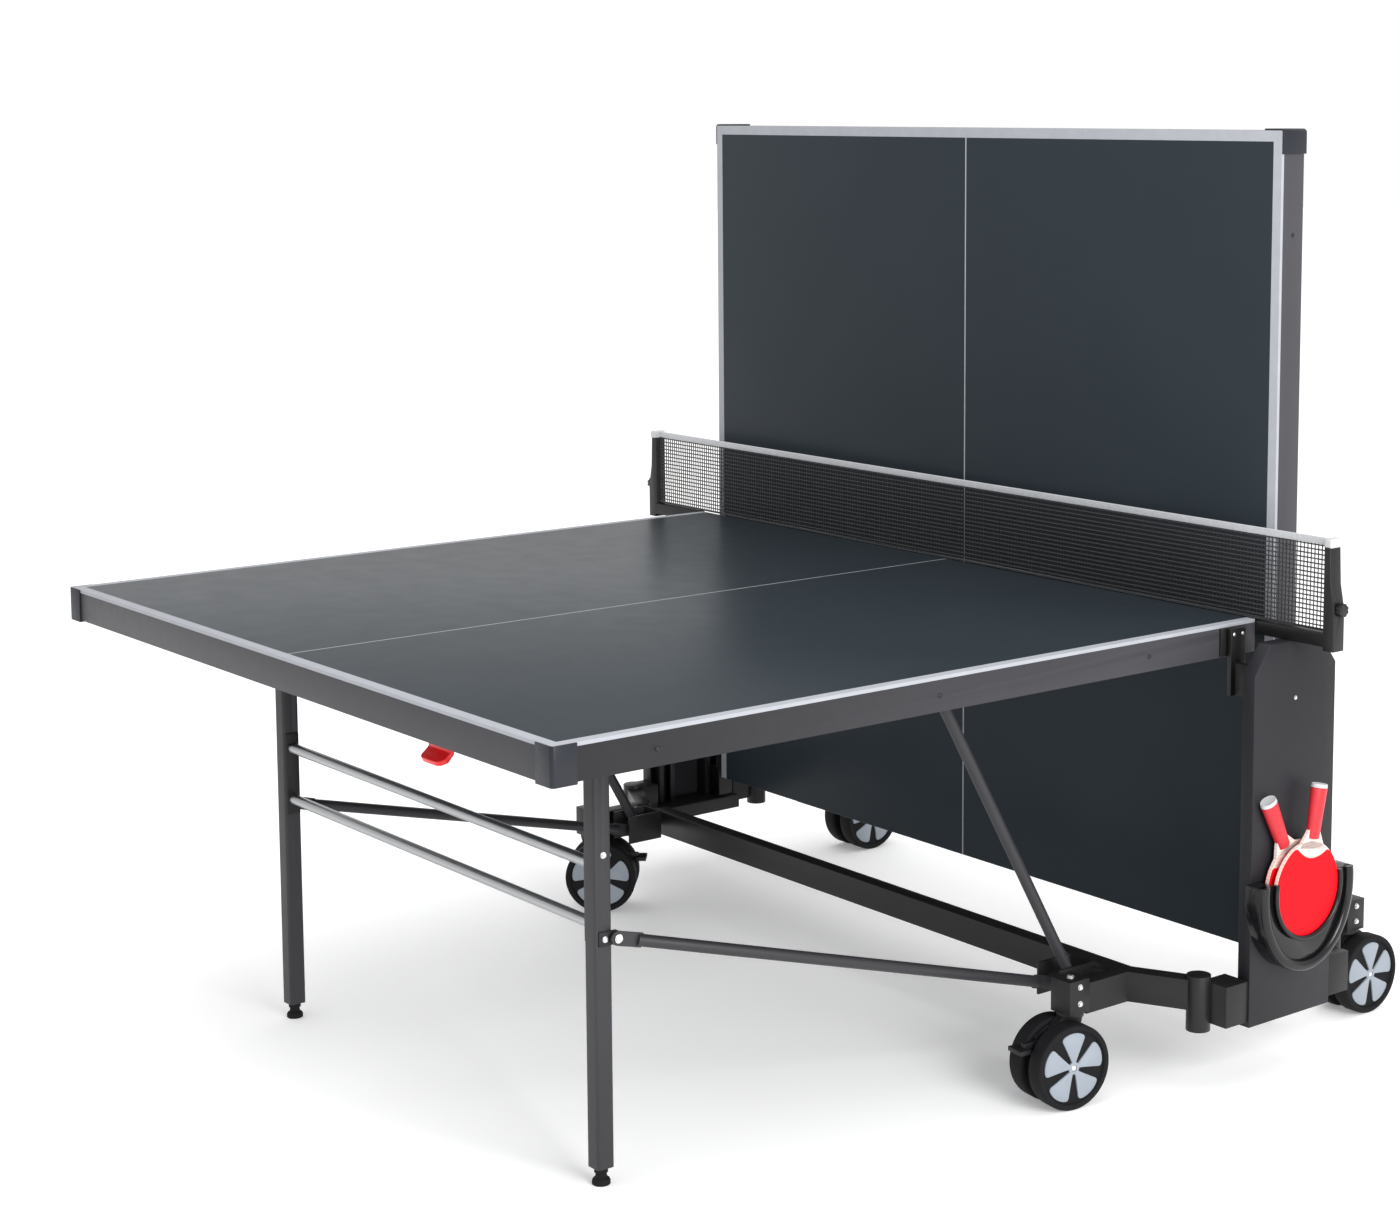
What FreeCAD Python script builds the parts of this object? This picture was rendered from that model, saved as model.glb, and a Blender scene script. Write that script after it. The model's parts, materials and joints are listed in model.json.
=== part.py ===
"""Folding table tennis table on a wheeled chassis, one half down for play and the other folded upright.

Millimetres, +Z up. X runs across the table, Y along it, and the halves meet over the net line.
Every half is drawn once, at the front (-Y) and laid flat. The rear half is the same drawing,
folded up about its own pivots and then turned half a turn about the vertical.
The origin is at floor level in the middle of the table's plan as it stands.
"""
import FreeCAD
import Part
import math
import os

V = FreeCAD.Vector
X_AXIS = V(1, 0, 0)
Y_AXIS = V(0, 1, 0)
Z_AXIS = V(0, 0, 1)
ORIGIN = V(0, 0, 0)
SIDES = (("left", -1), ("right", 1))

# ---------------------------------------------------------------- playing surface
table_length = 2740.0
table_width = 1525.0
surface_height = 760.0
net_line_gap = 2.5            # from the net line to each half's net edge
board_thickness = 6.0

# ---------------------------------------------------------------- apron frame under each board
apron_depth = 54.0            # board included
apron_flange = 22.0
apron_wall = 2.0
guard_length = 52.0
guard_wall = 3.0
guard_radius = 14.0
rail_width = 25.0             # cross rails under the board
rail_wall = 1.5
rail_clearance = 2.0          # cross rails to the folded legs
rail_places = (250.0, 690.0, 1200.0)   # from the net line
ear_thickness = 3.0
ear_clearance = 1.0

# ---------------------------------------------------------------- folding
hinge_setback = 60.0          # fold pivot, from the net line
hinge_drop = 18.0             # fold pivot, below the surface
folded_rise = 42.0            # chassis foot to the folded half's net line edge
hinge_pin_radius = 6.0
hinge_plate_wall = 4.0
hinge_plate_size = 56.0
running_clearance = 0.05
overcut = 1.0                 # how far a cutting shape runs past a face

# ---------------------------------------------------------------- carriages and their rails
carriage_plate = 8.0
carriage_gap = 4.5            # hinge plate to carriage plate
carriage_width = 34.0
carriage_drop = 98.0          # carriage's foot, below the pivot
block_drop = 45.0             # carriage block's head, below the pivot
neck_width = 12.0
block_width = 30.0
block_depth = 22.0
channel_width = 40.0
channel_depth = 32.0
channel_wall = 2.5
channel_mouth = 16.0
slide_clearance = 1.0
rail_head_reach = 10.0        # rails above the plates' shoulders

# ---------------------------------------------------------------- side plates
plate_gap = 87.5              # board's edge to the plate's outer face
plate_margin = 18.0           # rail channel to the plate's edge
plate_drop = 33.0             # below the chassis foot
plate_top_drop = 22.0         # below the surface
plate_shoulder = 48.0
plate_chamfer = 36.0
plate_depth = 26.0
plate_wall = 2.5

# ---------------------------------------------------------------- legs
leg_inset = 284.5             # leg's middle, in from the board's edge
leg_setback = 1110.0          # from the net line
leg_pivot_drop = 37.0
leg_size = 30.0
leg_wall = 1.5
leg_radius = 5.0
leg_pin_radius = 5.0
crossbar_radius = 9.0
crossbar_wall = 1.5
crossbar_heights = (397.0, 488.0)
bracket_wall = 3.0
bracket_margin = 26.0
bracket_width = 24.0
foot_radius = 14.0
foot_height = 11.0
foot_round = 2.0
neck_radius = 9.0
foot_reach = 27.0             # floor to the leg tube
stud_radius = 5.0
stud_length = 40.0
plug_height = 20.0

# ---------------------------------------------------------------- struts that keep the legs upright
strut_radius = 9.5
strut_tab = 4.0
strut_tab_radius = 11.0
strut_tab_length = 45.0
strut_pin_radius = 4.0
strut_leg_height = 380.0
strut_leg_offset = 17.0       # pivot, from the leg's middle towards the net
strut_ground_rise = 23.0      # above the chassis foot
strut_ground_inset = 160.5    # from the board's edge
strut_end_gap = 0.6
strut_wall = 1.5

# ---------------------------------------------------------------- swing arms that lift the halves
arm_inset = 140.5             # from the board's edge
arm_radius = 10.0             # half the width of the eyes
arm_tube_radius = 9.5
arm_wall = 1.5
arm_eye_radius = 13.0
arm_foot_radius = 12.0
arm_setback = 590.0           # upper pivot, from the net line
arm_pivot_drop = 35.0
arm_ground_rise = 32.0        # above the chassis foot

# ---------------------------------------------------------------- release bar under the end apron
lever_place = 400.0
lever_width = 60.0
lever_height = 58.0
lever_thickness = 7.0
release_setback = 1322.0
release_drop = 40.0
release_radius = 5.0
release_inset = 72.5          # shaft's end, in from the board's edge
hub_wall = 5.0
hook_reach = 19.0             # how far the pull's foot curls outwards
hook_rise = 16.0
tongue_length = 26.0
tongue_heel = 6.0
tongue_height = 10.0
tongue_width = 8.0
tongue_inset = 6.0
guide_width = 8.0
guide_gap = 25.0              # guide's middle, from the lever
guide_depth = 20.0
guide_lap = 12.0

# ---------------------------------------------------------------- chassis
caster_inset = 78.5           # from the board's edge
caster_setback = 340.0
wheel_clearance = 3.0         # wheel's top to the chassis foot
frame_depth = 50.0
frame_width = 30.0
frame_wall = 2.0
bend_setback = 215.0
post_gap = 33.5               # out from the board's edge
post_setback = 160.0
post_radius = 20.0
post_drop = 35.0              # below the chassis foot
post_height = 92.0
post_wall = 3.0
post_bracket_margin = 12.0
beam_setback = 185.0
beam_depth = 48.0
beam_drop = 11.0              # below the chassis foot
block_size = 44.0
block_height = 55.0
stem_end_gap = 4.0
lug_wall = 4.0
lug_inset = 122.5             # outer cheek, in from the board's edge
lug_width = 57.0
lug_back = 246.0
lug_front = 318.0
lug_rise = 3.0                # above the chassis foot
lug_height = 54.0
tray_height = 27.0
tray_wall = 3.0
tray_gap = 9.5                # out from the board's edge

# ---------------------------------------------------------------- casters
wheel_radius = 70.0
wheel_width = 32.0
wheel_gap = 21.0
wheel_recess = 4.0
wheel_rim = 14.0
wheel_round = 5.0
axle_radius = 5.0
trail = 21.0
housing_side_gap = 2.0
bearing_radius = 22.0
bearing_height = 7.0
stem_radius = 6.0
stem_length = 40.0
web_back = 24.0               # housing, from the axle
web_front = 16.0
web_drop = 14.0
bearing_lap = 2.0
brake_width = 9.0
brake_side_gap = 1.0
brake_setback = 34.0          # brake's pin, from the axle
brake_drop = 34.0             # brake's pin, below the wheel's top
brake_pin_radius = 3.0
brake_boss = 10.0
brake_notch = 14.0
brake_heel = 6.0
brake_start = 2.0             # wheel's tread to the end of the brake's arm
brake_height = 12.0
pedal_width = 36.0
pedal_gap = 18.0              # wheel's tread to the pedal's end
pedal_lap = 4.0
pedal_height = 7.0
# the way each caster happens to stand, in degrees about its stem
caster_turn = {"front_left": 139.0, "front_right": -8.0, "rear_left": 0.0, "rear_right": 0.0}
braked = ("front_left", "front_right")

# ---------------------------------------------------------------- net
net_overhang = 152.5
net_height = 152.5
net_clearance = 2.0
net_thickness = 2.0
net_post_width = 26.0
net_post_depth = 14.0
net_arm_width = 26.0
net_arm_gap = 12.5            # out from the board's edge
net_arm_height = 22.0
net_post_lap = 6.0            # post's foot, below the arm
net_post_flare = 8.0
net_post_shoulder = 40.0
net_post_taper = 3.0
knob_radius = 11.0
knob_length = 20.0
knob_rise = 40.0              # above the surface
knob_shaft_radius = 4.0
knob_gap = 0.5
knob_flutes = 8
flute_radius = 3.0

# ---------------------------------------------------------------- rackets and their holders
racket_centre = 332.0
blade_half_width = 75.0
blade_half_height = 78.0
blade_thickness = 10.0
handle_length = 95.0
handle_width = 28.0
handle_thickness = 22.0
handle_round = 6.0
shoulder_drop = 12.0          # where the handle's shoulders meet the blade
shoulder_rise = 6.0
shoulder_thickness = 6.0
racket_gaps = {"rear_racket": 12.0, "front_racket": 29.5}   # from the side plate's face
racket_tilts = {"rear_racket": 26.0, "front_racket": -10.0}
holder_half_width = 112.0
holder_drop = 137.0
holder_top = 20.0
holder_depth = 41.0
holder_back = 1.5
holder_pocket_width = 82.0
holder_pocket_drop = 86.0
holder_lip = 3.5
holder_lip_drop = 74.0

# ---------------------------------------------------------------- fasteners
bolt_radius = 5.0
bolt_head = 4.0
nut_radius = 7.0
screw_radius = 3.5
screw_head = 2.0
plate_screw_drop = 95.0
block_bolts = (0.3, 0.8)      # shares of the block's height
leg_bolt_share = 0.7          # of the bracket's margin

# ---------------------------------------------------------------- worked out
half_length = table_length / 2
half_width = table_width / 2
folded_gap = hinge_setback - hinge_drop    # the fold pivot only rises and falls, so this follows
frame_foot = 2 * wheel_radius + wheel_clearance
bearing_foot = frame_foot
block_foot = bearing_foot + bearing_height
folded_height = frame_foot + folded_rise
plate_foot = frame_foot - plate_drop
post_foot = frame_foot - post_drop
beam_foot = frame_foot - beam_drop
lug_foot = frame_foot + lug_rise
strut_ground_height = frame_foot + strut_ground_rise
arm_ground_height = frame_foot + arm_ground_rise
brake_rise = wheel_radius - brake_drop
brake_reach = wheel_radius + brake_start - brake_setback
pedal_reach = wheel_radius + pedal_gap - brake_setback
plate_face = half_width + plate_gap
plate_half_width = hinge_setback + channel_width / 2 + plate_margin
plate_top = surface_height - plate_top_drop
leg_spread = half_width - leg_inset
strut_ground_spread = half_width - strut_ground_inset
arm_spread = half_width - arm_inset
release_reach = half_width - release_inset
caster_spread = half_width - caster_inset
post_spread = half_width + post_gap
lug_outer = half_width - lug_inset
lug_inner = lug_outer - lug_width
tray_inner = half_width + tray_gap
net_half_length = half_width + net_overhang
net_arm_start = half_width + net_arm_gap
knob_height = surface_height + knob_rise
racket_planes = {name: plate_face + gap for name, gap in racket_gaps.items()}
underside = surface_height - board_thickness
apron_foot = surface_height - apron_depth
tray_foot = plate_foot + plate_wall
rail_depth = leg_pivot_drop - leg_size / 2 - board_thickness - rail_clearance
carriage_travel = (surface_height - hinge_drop) - (folded_height + hinge_setback)
hinge_plate_face = half_width + hinge_plate_wall
carriage_face = hinge_plate_face + carriage_gap
wheel_centre = caster_setback + trail
front_reach = half_length + guard_wall
rear_reach = wheel_centre + wheel_radius
origin_shift = V(0, (front_reach - rear_reach) / 2, 0)


# ================================================================ pivots, as (y, z) at the front half
def flat(setback, drop):
    """A point of the half while it lies flat."""
    return (-setback, surface_height - drop)


def upright(setback, drop):
    """The same point once the half stands folded."""
    return (-folded_gap - drop, folded_height + setback)


def level_reach(first, second, height):
    """The point at this height that is as far from one place as from the other."""
    (y1, z1), (y2, z2) = first, second
    return ((y1 ** 2 + z1 ** 2 - y2 ** 2 - z2 ** 2 - 2 * height * (z1 - z2)) / (2 * (y1 - y2)), height)


def bearing(start, end):
    """Angle of the line from start to end, in degrees, turning from +Y to +Z."""
    return math.degrees(math.atan2(end[1] - start[1], end[0] - start[0])) % 360


fold_pivot = flat(hinge_setback, hinge_drop)
leg_pivot = flat(leg_setback, leg_pivot_drop)
leg_shift = tuple(b - a for a, b in zip(leg_pivot, upright(leg_setback, leg_pivot_drop)))
strut_pivot = (-leg_setback + strut_leg_offset, strut_leg_height)
strut_pivot_up = (strut_pivot[0] + leg_shift[0], strut_pivot[1] + leg_shift[1])
strut_ground = level_reach(strut_pivot, strut_pivot_up, strut_ground_height)
strut_swing = bearing(strut_ground, strut_pivot) - bearing(strut_ground, strut_pivot_up)
arm_pivot = flat(arm_setback, arm_pivot_drop)
arm_pivot_up = upright(arm_setback, arm_pivot_drop)
arm_ground = level_reach(arm_pivot, arm_pivot_up, arm_ground_height)
arm_swing = bearing(arm_ground, arm_pivot) - bearing(arm_ground, arm_pivot_up)
release_pivot = flat(release_setback, release_drop)


# ================================================================ small shapes
def box(x0, x1, y0, y1, z0, z1):
    """A box between two x, two y and two z, given in either order."""
    corner = V(min(x0, x1), min(y0, y1), min(z0, z1))
    return Part.makeBox(abs(x1 - x0), abs(y1 - y0), abs(z1 - z0), corner)


def rod_x(radius, x0, x1, place):
    """A round bar along X through a (y, z) place."""
    return Part.makeCylinder(radius, abs(x1 - x0), V(min(x0, x1), place[0], place[1]), X_AXIS)


def tube_x(radius, wall, x0, x1, place):
    """A round tube along X, open at its ends."""
    bore = rod_x(radius - wall, min(x0, x1) - overcut, max(x0, x1) + overcut, place)
    return rod_x(radius, x0, x1, place).cut(bore)


def rod_z(radius, x, y, z0, z1):
    """A round bar along Z."""
    return Part.makeCylinder(radius, z1 - z0, V(x, y, z0), Z_AXIS)


def bar(radius, start, end):
    """A round bar between two points."""
    way = end.sub(start)
    return Part.makeCylinder(radius, way.Length, start, way)


def round_upright_edges(shape, radius):
    upright_edges = [e for e in shape.Edges if abs(e.tangentAt(e.FirstParameter).z) > 0.99]
    return shape.makeFillet(radius, upright_edges)


def rounded_box(x0, x1, y0, y1, z0, z1, radius):
    """A box whose upright edges are rounded."""
    return round_upright_edges(box(x0, x1, y0, y1, z0, z1), radius)


def extrude_x(points, x0, x1):
    """A flat outline of (y, z) points, made solid from x0 to x1."""
    wire = Part.makePolygon([V(min(x0, x1), y, z) for y, z in points + points[:1]])
    return Part.Face(wire).extrude(V(abs(x1 - x0), 0, 0))


def fuse(shapes):
    """Join shapes that touch into one solid."""
    return shapes[0].multiFuse(shapes[1:]).removeSplitter()


def mirror_x(shape):
    """The same piece on the other side."""
    return shape.mirror(ORIGIN, X_AXIS)


def on_side(shape, side):
    return shape if side > 0 else mirror_x(shape)


def both_sides(shape):
    return [mirror_x(shape), shape]


# ================================================================ one half, laid flat at the front
def board():
    return box(-half_width, half_width, -half_length, -net_line_gap, underside, surface_height)


def channel_along_y(x_outer, x_inner, y0, y1):
    """Apron channel whose open side looks inwards, along Y."""
    outer = box(x_outer, x_inner, y0, y1, apron_foot, underside)
    inward = 1 if x_inner > x_outer else -1
    hollow = box(x_outer + inward * apron_wall, x_inner + inward * overcut, y0, y1,
                 apron_foot + apron_wall, underside - apron_wall)
    return outer.cut(hollow)


def channel_along_x(x0, x1, y_outer, y_inner):
    """Apron channel whose open side looks inwards, along X."""
    outer = box(x0, x1, y_outer, y_inner, apron_foot, underside)
    inward = 1 if y_inner > y_outer else -1
    hollow = box(x0 + apron_wall, x1 - apron_wall, y_outer + inward * apron_wall, y_inner + inward * overcut,
                 apron_foot + apron_wall, underside - apron_wall)
    return outer.cut(hollow)


def apron():
    """Two side channels between an end channel and a net channel; the fold pins pass through the sides."""
    end = channel_along_x(-half_width, half_width, -half_length, -half_length + apron_flange)
    net = channel_along_x(-half_width, half_width, -net_line_gap, -net_line_gap - apron_flange)
    bars = [end, net]
    for shape in both_sides(channel_along_y(half_width, half_width - apron_flange,
                                            -half_length + apron_flange, -net_line_gap - apron_flange)):
        hole = rod_x(hinge_pin_radius + running_clearance, -half_width - overcut, half_width + overcut,
                     fold_pivot)
        bars.append(shape.cut(hole))
    return bars


def corner_guards():
    """Moulded caps that wrap the two outer corners of the apron."""
    outer = rounded_box(half_width - guard_length, half_width + guard_wall,
                        -half_length - guard_wall, -half_length + guard_length,
                        apron_foot - guard_wall, surface_height, guard_radius / 2)
    keep = box(half_width - guard_length + guard_radius, half_width + guard_wall,
               -half_length - guard_wall, -half_length + guard_length - guard_radius,
               apron_foot - guard_wall, surface_height)
    inner = box(0, half_width, -half_length, 0, apron_foot, surface_height + overcut)
    return both_sides(outer.common(keep).cut(inner))


def hinge_plate():
    """Plate outside the side apron that the fold pin turns in."""
    y, z = fold_pivot
    reach = hinge_plate_size / 2
    plate = box(half_width, hinge_plate_face, y - reach, y + reach, apron_foot + apron_wall, underside)
    return plate.cut(rod_x(hinge_pin_radius + running_clearance, half_width - overcut,
                           hinge_plate_face + overcut, (y, z)))


def ear_pair(x_middle, pivot, inner_width, reach, pin_radius):
    """Two ears hung from the board with a pin between them, all one welded bracket."""
    y, z = pivot
    half = inner_width / 2 + ear_clearance
    foot = z - pin_radius - ear_thickness - ear_clearance
    ears = []
    for way in (-1, 1):
        face = x_middle + way * half
        ears.append(box(face, face + way * ear_thickness, y - reach, y + reach, foot, underside))
    pin = rod_x(pin_radius, x_middle - half - ear_thickness, x_middle + half + ear_thickness, pivot)
    return fuse(ears + [pin])


def underframe():
    """Cross rails, leg brackets, swing arm brackets, fold hinge plates and the release bar's guides."""
    inner = half_width - apron_flange
    solids = []
    half = rail_width / 2
    for place in rail_places:
        rail = box(-inner, inner, -place - half, -place + half, underside - rail_depth, underside)
        solids.append(rail.cut(box(-inner - overcut, inner + overcut, -place - half + rail_wall,
                                   -place + half - rail_wall, underside - rail_depth + rail_wall,
                                   underside - rail_wall)))
    solids += both_sides(ear_pair(leg_spread, leg_pivot, leg_size, leg_size * 0.8, leg_pin_radius))
    solids += both_sides(ear_pair(arm_spread, arm_pivot, 2 * arm_radius, arm_eye_radius, hinge_pin_radius))
    solids += both_sides(hinge_plate())
    y, z = release_pivot
    guide_place = lever_place - lever_width / 2 - guide_gap
    for x in (-guide_place, guide_place):
        guide = box(x - guide_width / 2, x + guide_width / 2, y - guide_depth / 2, y + guide_depth / 2,
                    z - guide_lap, underside)
        solids.append(guide.cut(rod_x(release_radius + running_clearance, x - guide_width, x + guide_width,
                                      release_pivot)))
    return solids


def release_shaft():
    """Bar across the half, with a latch tongue near each end."""
    y, z = release_pivot
    shaft = rod_x(release_radius, -release_reach, release_reach, release_pivot)
    end = release_reach - tongue_inset
    tongue = box(end - tongue_width, end, y - tongue_heel, y + tongue_length, z - tongue_height / 2,
                 z + tongue_height / 2)
    return [fuse([shaft] + both_sides(tongue))]


def release_lever():
    """Curved pull that hangs below the end apron from the release bar."""
    y, z = release_pivot
    x0 = lever_place - lever_width / 2
    x1 = lever_place + lever_width / 2
    hub = rod_x(release_radius + hub_wall, x0, x1, release_pivot)
    foot = z - lever_height
    half = lever_thickness / 2
    outline = [(y - half, z), (y + half, z), (y + half, foot + hook_rise),
               (y - 2 * half, foot + hook_rise / 3), (y - hook_reach, foot),
               (y - hook_reach - half, foot + 2 * half), (y - 3 * half, foot + hook_rise - half),
               (y - half, foot + hook_rise + half)]
    lever = fuse([hub, extrude_x(outline, x0, x1)])
    return [lever.cut(rod_x(release_radius, x0 - overcut, x1 + overcut, release_pivot))]


# ================================================================ leg frame
def leg():
    """Square tube with rounded edges, a plug with the foot's thread at its end, and the pivot's bore."""
    half = leg_size / 2
    y = -leg_setback
    top = leg_pivot[1] + half
    outer = rounded_box(leg_spread - half, leg_spread + half, y - half, y + half, foot_reach, top, leg_radius)
    inset = half - leg_wall
    hollow = rounded_box(leg_spread - inset, leg_spread + inset, y - inset, y + inset,
                         foot_reach + plug_height, top - leg_wall, leg_radius - leg_wall)
    tube = outer.cut(hollow)
    tube = tube.cut(rod_x(leg_pin_radius + running_clearance, leg_spread - leg_size, leg_spread + leg_size,
                          leg_pivot))
    return tube.cut(rod_z(stud_radius + running_clearance, leg_spread, y, foot_reach - overcut,
                          foot_reach + plug_height + overcut))


def bracket_face():
    return leg_spread - leg_size / 2 - bracket_wall


def leg_brackets():
    """Upright plates inside the legs for the crossbars, and gussets outside for the struts."""
    y = -leg_setback
    low, high = crossbar_heights
    inside = box(bracket_face(), bracket_face() + bracket_wall, y - bracket_width / 2, y + bracket_width / 2,
                 low - bracket_margin, high + bracket_margin)
    face = leg_spread + leg_size / 2
    gusset = fuse([
        box(face, face + bracket_wall, y - leg_size / 3, strut_pivot[0],
            strut_leg_height - strut_tab_radius, strut_leg_height + strut_tab_radius),
        rod_x(strut_tab_radius, face, face + bracket_wall, strut_pivot),
        rod_x(strut_pin_radius, face, strut_tab_face() + strut_tab + ear_clearance, strut_pivot)])
    return both_sides(inside) + both_sides(gusset)


def crossbars():
    reach = bracket_face()
    return [tube_x(crossbar_radius, crossbar_wall, -reach, reach, (-leg_setback, height))
            for height in crossbar_heights]


def leg_bolts():
    """Bolt heads on the legs' outer faces."""
    face = leg_spread + leg_size / 2
    high = max(crossbar_heights) + bracket_margin * leg_bolt_share
    heads = both_sides(rod_x(bolt_radius, face, face + bolt_head, (-leg_setback, high)))
    gusset_face = face + bracket_wall
    heads += both_sides(rod_x(bolt_radius, gusset_face, gusset_face + bolt_head,
                              (-leg_setback, strut_leg_height)))
    start = strut_tab_face() + strut_tab + ear_clearance
    heads += both_sides(rod_x(nut_radius, start, start + bolt_head, strut_pivot))
    return heads


def leg_foot():
    """Levelling foot: pad, neck and threaded stud."""
    x, y = leg_spread, -leg_setback
    pad = rod_z(foot_radius, x, y, 0, foot_height)
    pad = pad.makeFillet(foot_round, [e for e in pad.Edges if e.Closed and e.BoundBox.ZMin > foot_height / 2])
    return fuse([pad, rod_z(neck_radius, x, y, foot_height, foot_reach),
                 rod_z(stud_radius, x, y, foot_reach, foot_reach + stud_length - plug_height)])


# ================================================================ links
def strut_tab_face():
    """Inner face of the strut's leg end."""
    return leg_spread + leg_size / 2 + ear_clearance + strut_radius - strut_tab / 2


def tab(x0, x1, pivot, toward, length, radius):
    """Flattened end of a strut: a round eye and a straight tongue towards the other end."""
    y, z = pivot
    turn = bearing(pivot, toward)
    tongue = box(x0, x1, y, y + length, z - radius, z + radius)
    tongue.rotate(V(0, y, z), X_AXIS, turn)
    return [rod_x(radius, x0, x1, pivot), tongue]


def strut():
    """Tube with two flattened ends, splayed from the leg to the chassis."""
    leg_x = strut_tab_face()
    ground_x = strut_ground_spread - strut_tab / 2
    shapes = tab(leg_x, leg_x + strut_tab, strut_pivot, strut_ground, strut_tab_length, strut_tab_radius)
    shapes += tab(ground_x, ground_x + strut_tab, strut_ground, strut_pivot, strut_tab_length,
                  strut_tab_radius)
    length = math.hypot(strut_ground[0] - strut_pivot[0], strut_ground[1] - strut_pivot[1])
    step = (strut_tab_length - strut_radius) / length

    def along(share):
        y = strut_pivot[0] + (strut_ground[0] - strut_pivot[0]) * share
        z = strut_pivot[1] + (strut_ground[1] - strut_pivot[1]) * share
        x = leg_x + strut_tab / 2 + (ground_x - leg_x) * (share - step) / (1 - 2 * step)
        return V(x, y, z)

    shapes.append(bar(strut_radius, along(step), along(1 - step)))
    body = fuse(shapes).cut(bar(strut_radius - strut_wall, along(2 * step), along(1 - 2 * step)))
    body = body.cut(rod_x(strut_pin_radius + running_clearance, leg_x - overcut, leg_x + strut_tab + overcut,
                          strut_pivot))
    stub = rod_x(strut_pin_radius, lug_inner + lug_wall + strut_end_gap, ground_x, strut_ground)
    return fuse([body, stub])


def swing_arm():
    """Tube between two eyes: the upper one turns on the half, the lower one carries its own pin."""
    x0 = arm_spread - arm_radius
    x1 = arm_spread + arm_radius
    upper = rod_x(arm_eye_radius, x0, x1, arm_pivot)
    lower = rod_x(arm_foot_radius, x0, x1, arm_ground)
    pin = rod_x(hinge_pin_radius, x0, lug_outer - lug_wall - strut_end_gap, arm_ground)
    start = V(arm_spread, *arm_pivot)
    way = V(arm_spread, *arm_ground).sub(start)
    body = fuse([upper, lower, pin, bar(arm_tube_radius, start, start.add(way))])
    plug = 2 * arm_eye_radius / way.Length
    body = body.cut(bar(arm_tube_radius - arm_wall, start.add(way * plug), start.add(way * (1 - plug))))
    return body.cut(rod_x(hinge_pin_radius + running_clearance, x0 - overcut, x1 + overcut, arm_pivot))


# ================================================================ carriages
def carriage():
    """Plate with the fold pin, a neck through the rail's mouth and a block that runs in the rail."""
    y, z = fold_pivot
    rail_face = plate_face - plate_wall - channel_depth
    foot = z - carriage_drop
    head = z - block_drop
    plate = box(carriage_face, carriage_face + carriage_plate, y - carriage_width / 2, y + carriage_width / 2,
                foot, z + hinge_pin_radius * 2)
    block_face = rail_face + channel_wall + slide_clearance
    neck = box(carriage_face + carriage_plate, block_face, y - neck_width / 2, y + neck_width / 2, foot, head)
    block = box(block_face, block_face + block_depth, y - block_width / 2, y + block_width / 2, foot, head)
    pin = rod_x(hinge_pin_radius, half_width - apron_flange / 2, carriage_face + carriage_plate / 2,
                fold_pivot)
    return fuse([plate, neck, block, pin])


# ================================================================ placing a half at the front or at the rear
def fold_half(shape):
    """Stand a piece of the half upright about the fold pivot, with its carriages run down."""
    moved = shape.copy()
    moved.rotate(V(0, *fold_pivot), X_AXIS, -90)
    moved.translate(V(0, 0, -carriage_travel))
    return moved


def fold_carriage(shape):
    moved = shape.copy()
    moved.translate(V(0, 0, -carriage_travel))
    return moved


def fold_leg(shape):
    moved = shape.copy()
    moved.translate(V(0, *leg_shift))
    return moved


def fold_strut(shape):
    moved = shape.copy()
    moved.rotate(V(0, *strut_ground), X_AXIS, -strut_swing)
    return moved


def fold_arm(shape):
    moved = shape.copy()
    moved.rotate(V(0, *arm_ground), X_AXIS, -arm_swing)
    return moved


def turn_round(shape):
    moved = shape.copy()
    moved.rotate(ORIGIN, Z_AXIS, 180)
    return moved


def half_table():
    """Every node of one half, with the move that folds it."""
    right_leg = leg()
    right_foot = leg_foot()
    return {
        "top": ([board()], fold_half),
        "apron": (apron(), fold_half),
        "corner_guards": (corner_guards(), fold_half),
        "underframe": (underframe(), fold_half),
        "release_shaft": (release_shaft(), fold_half),
        "release_lever": (release_lever(), fold_half),
        "carriages": (both_sides(carriage()), fold_carriage),
        "leg_left": ([mirror_x(right_leg)], fold_leg),
        "leg_right": ([right_leg], fold_leg),
        "leg_brackets": (leg_brackets(), fold_leg),
        "leg_crossbars": (crossbars(), fold_leg),
        "leg_bolts": (leg_bolts(), fold_leg),
        "foot_left": ([mirror_x(right_foot)], fold_leg),
        "foot_right": ([right_foot], fold_leg),
        "leg_struts": (both_sides(strut()), fold_strut),
        "swing_arms": (both_sides(swing_arm()), fold_arm),
    }


# ================================================================ chassis
def plate_outline(inset):
    """Side plate seen from the side, as (y, z), with its walls moved in by inset."""
    w = plate_half_width - inset
    top = plate_top - inset
    foot = plate_foot + inset
    lean = math.atan2(plate_chamfer, plate_shoulder)
    shoulder = plate_top - plate_shoulder - inset * math.tan(lean / 2)
    crown = plate_half_width - plate_chamfer - inset * math.tan((math.pi / 2 - lean) / 2)
    return [(-w, foot), (w, foot), (w, shoulder), (crown, top), (-crown, top), (-w, shoulder)]


def side_plate():
    """Folded sheet box, open towards the middle of the table."""
    back = plate_face - plate_depth
    shell = extrude_x(plate_outline(0), back, plate_face)
    return shell.cut(extrude_x(plate_outline(plate_wall), back - overcut, plate_face - plate_wall))


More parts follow.
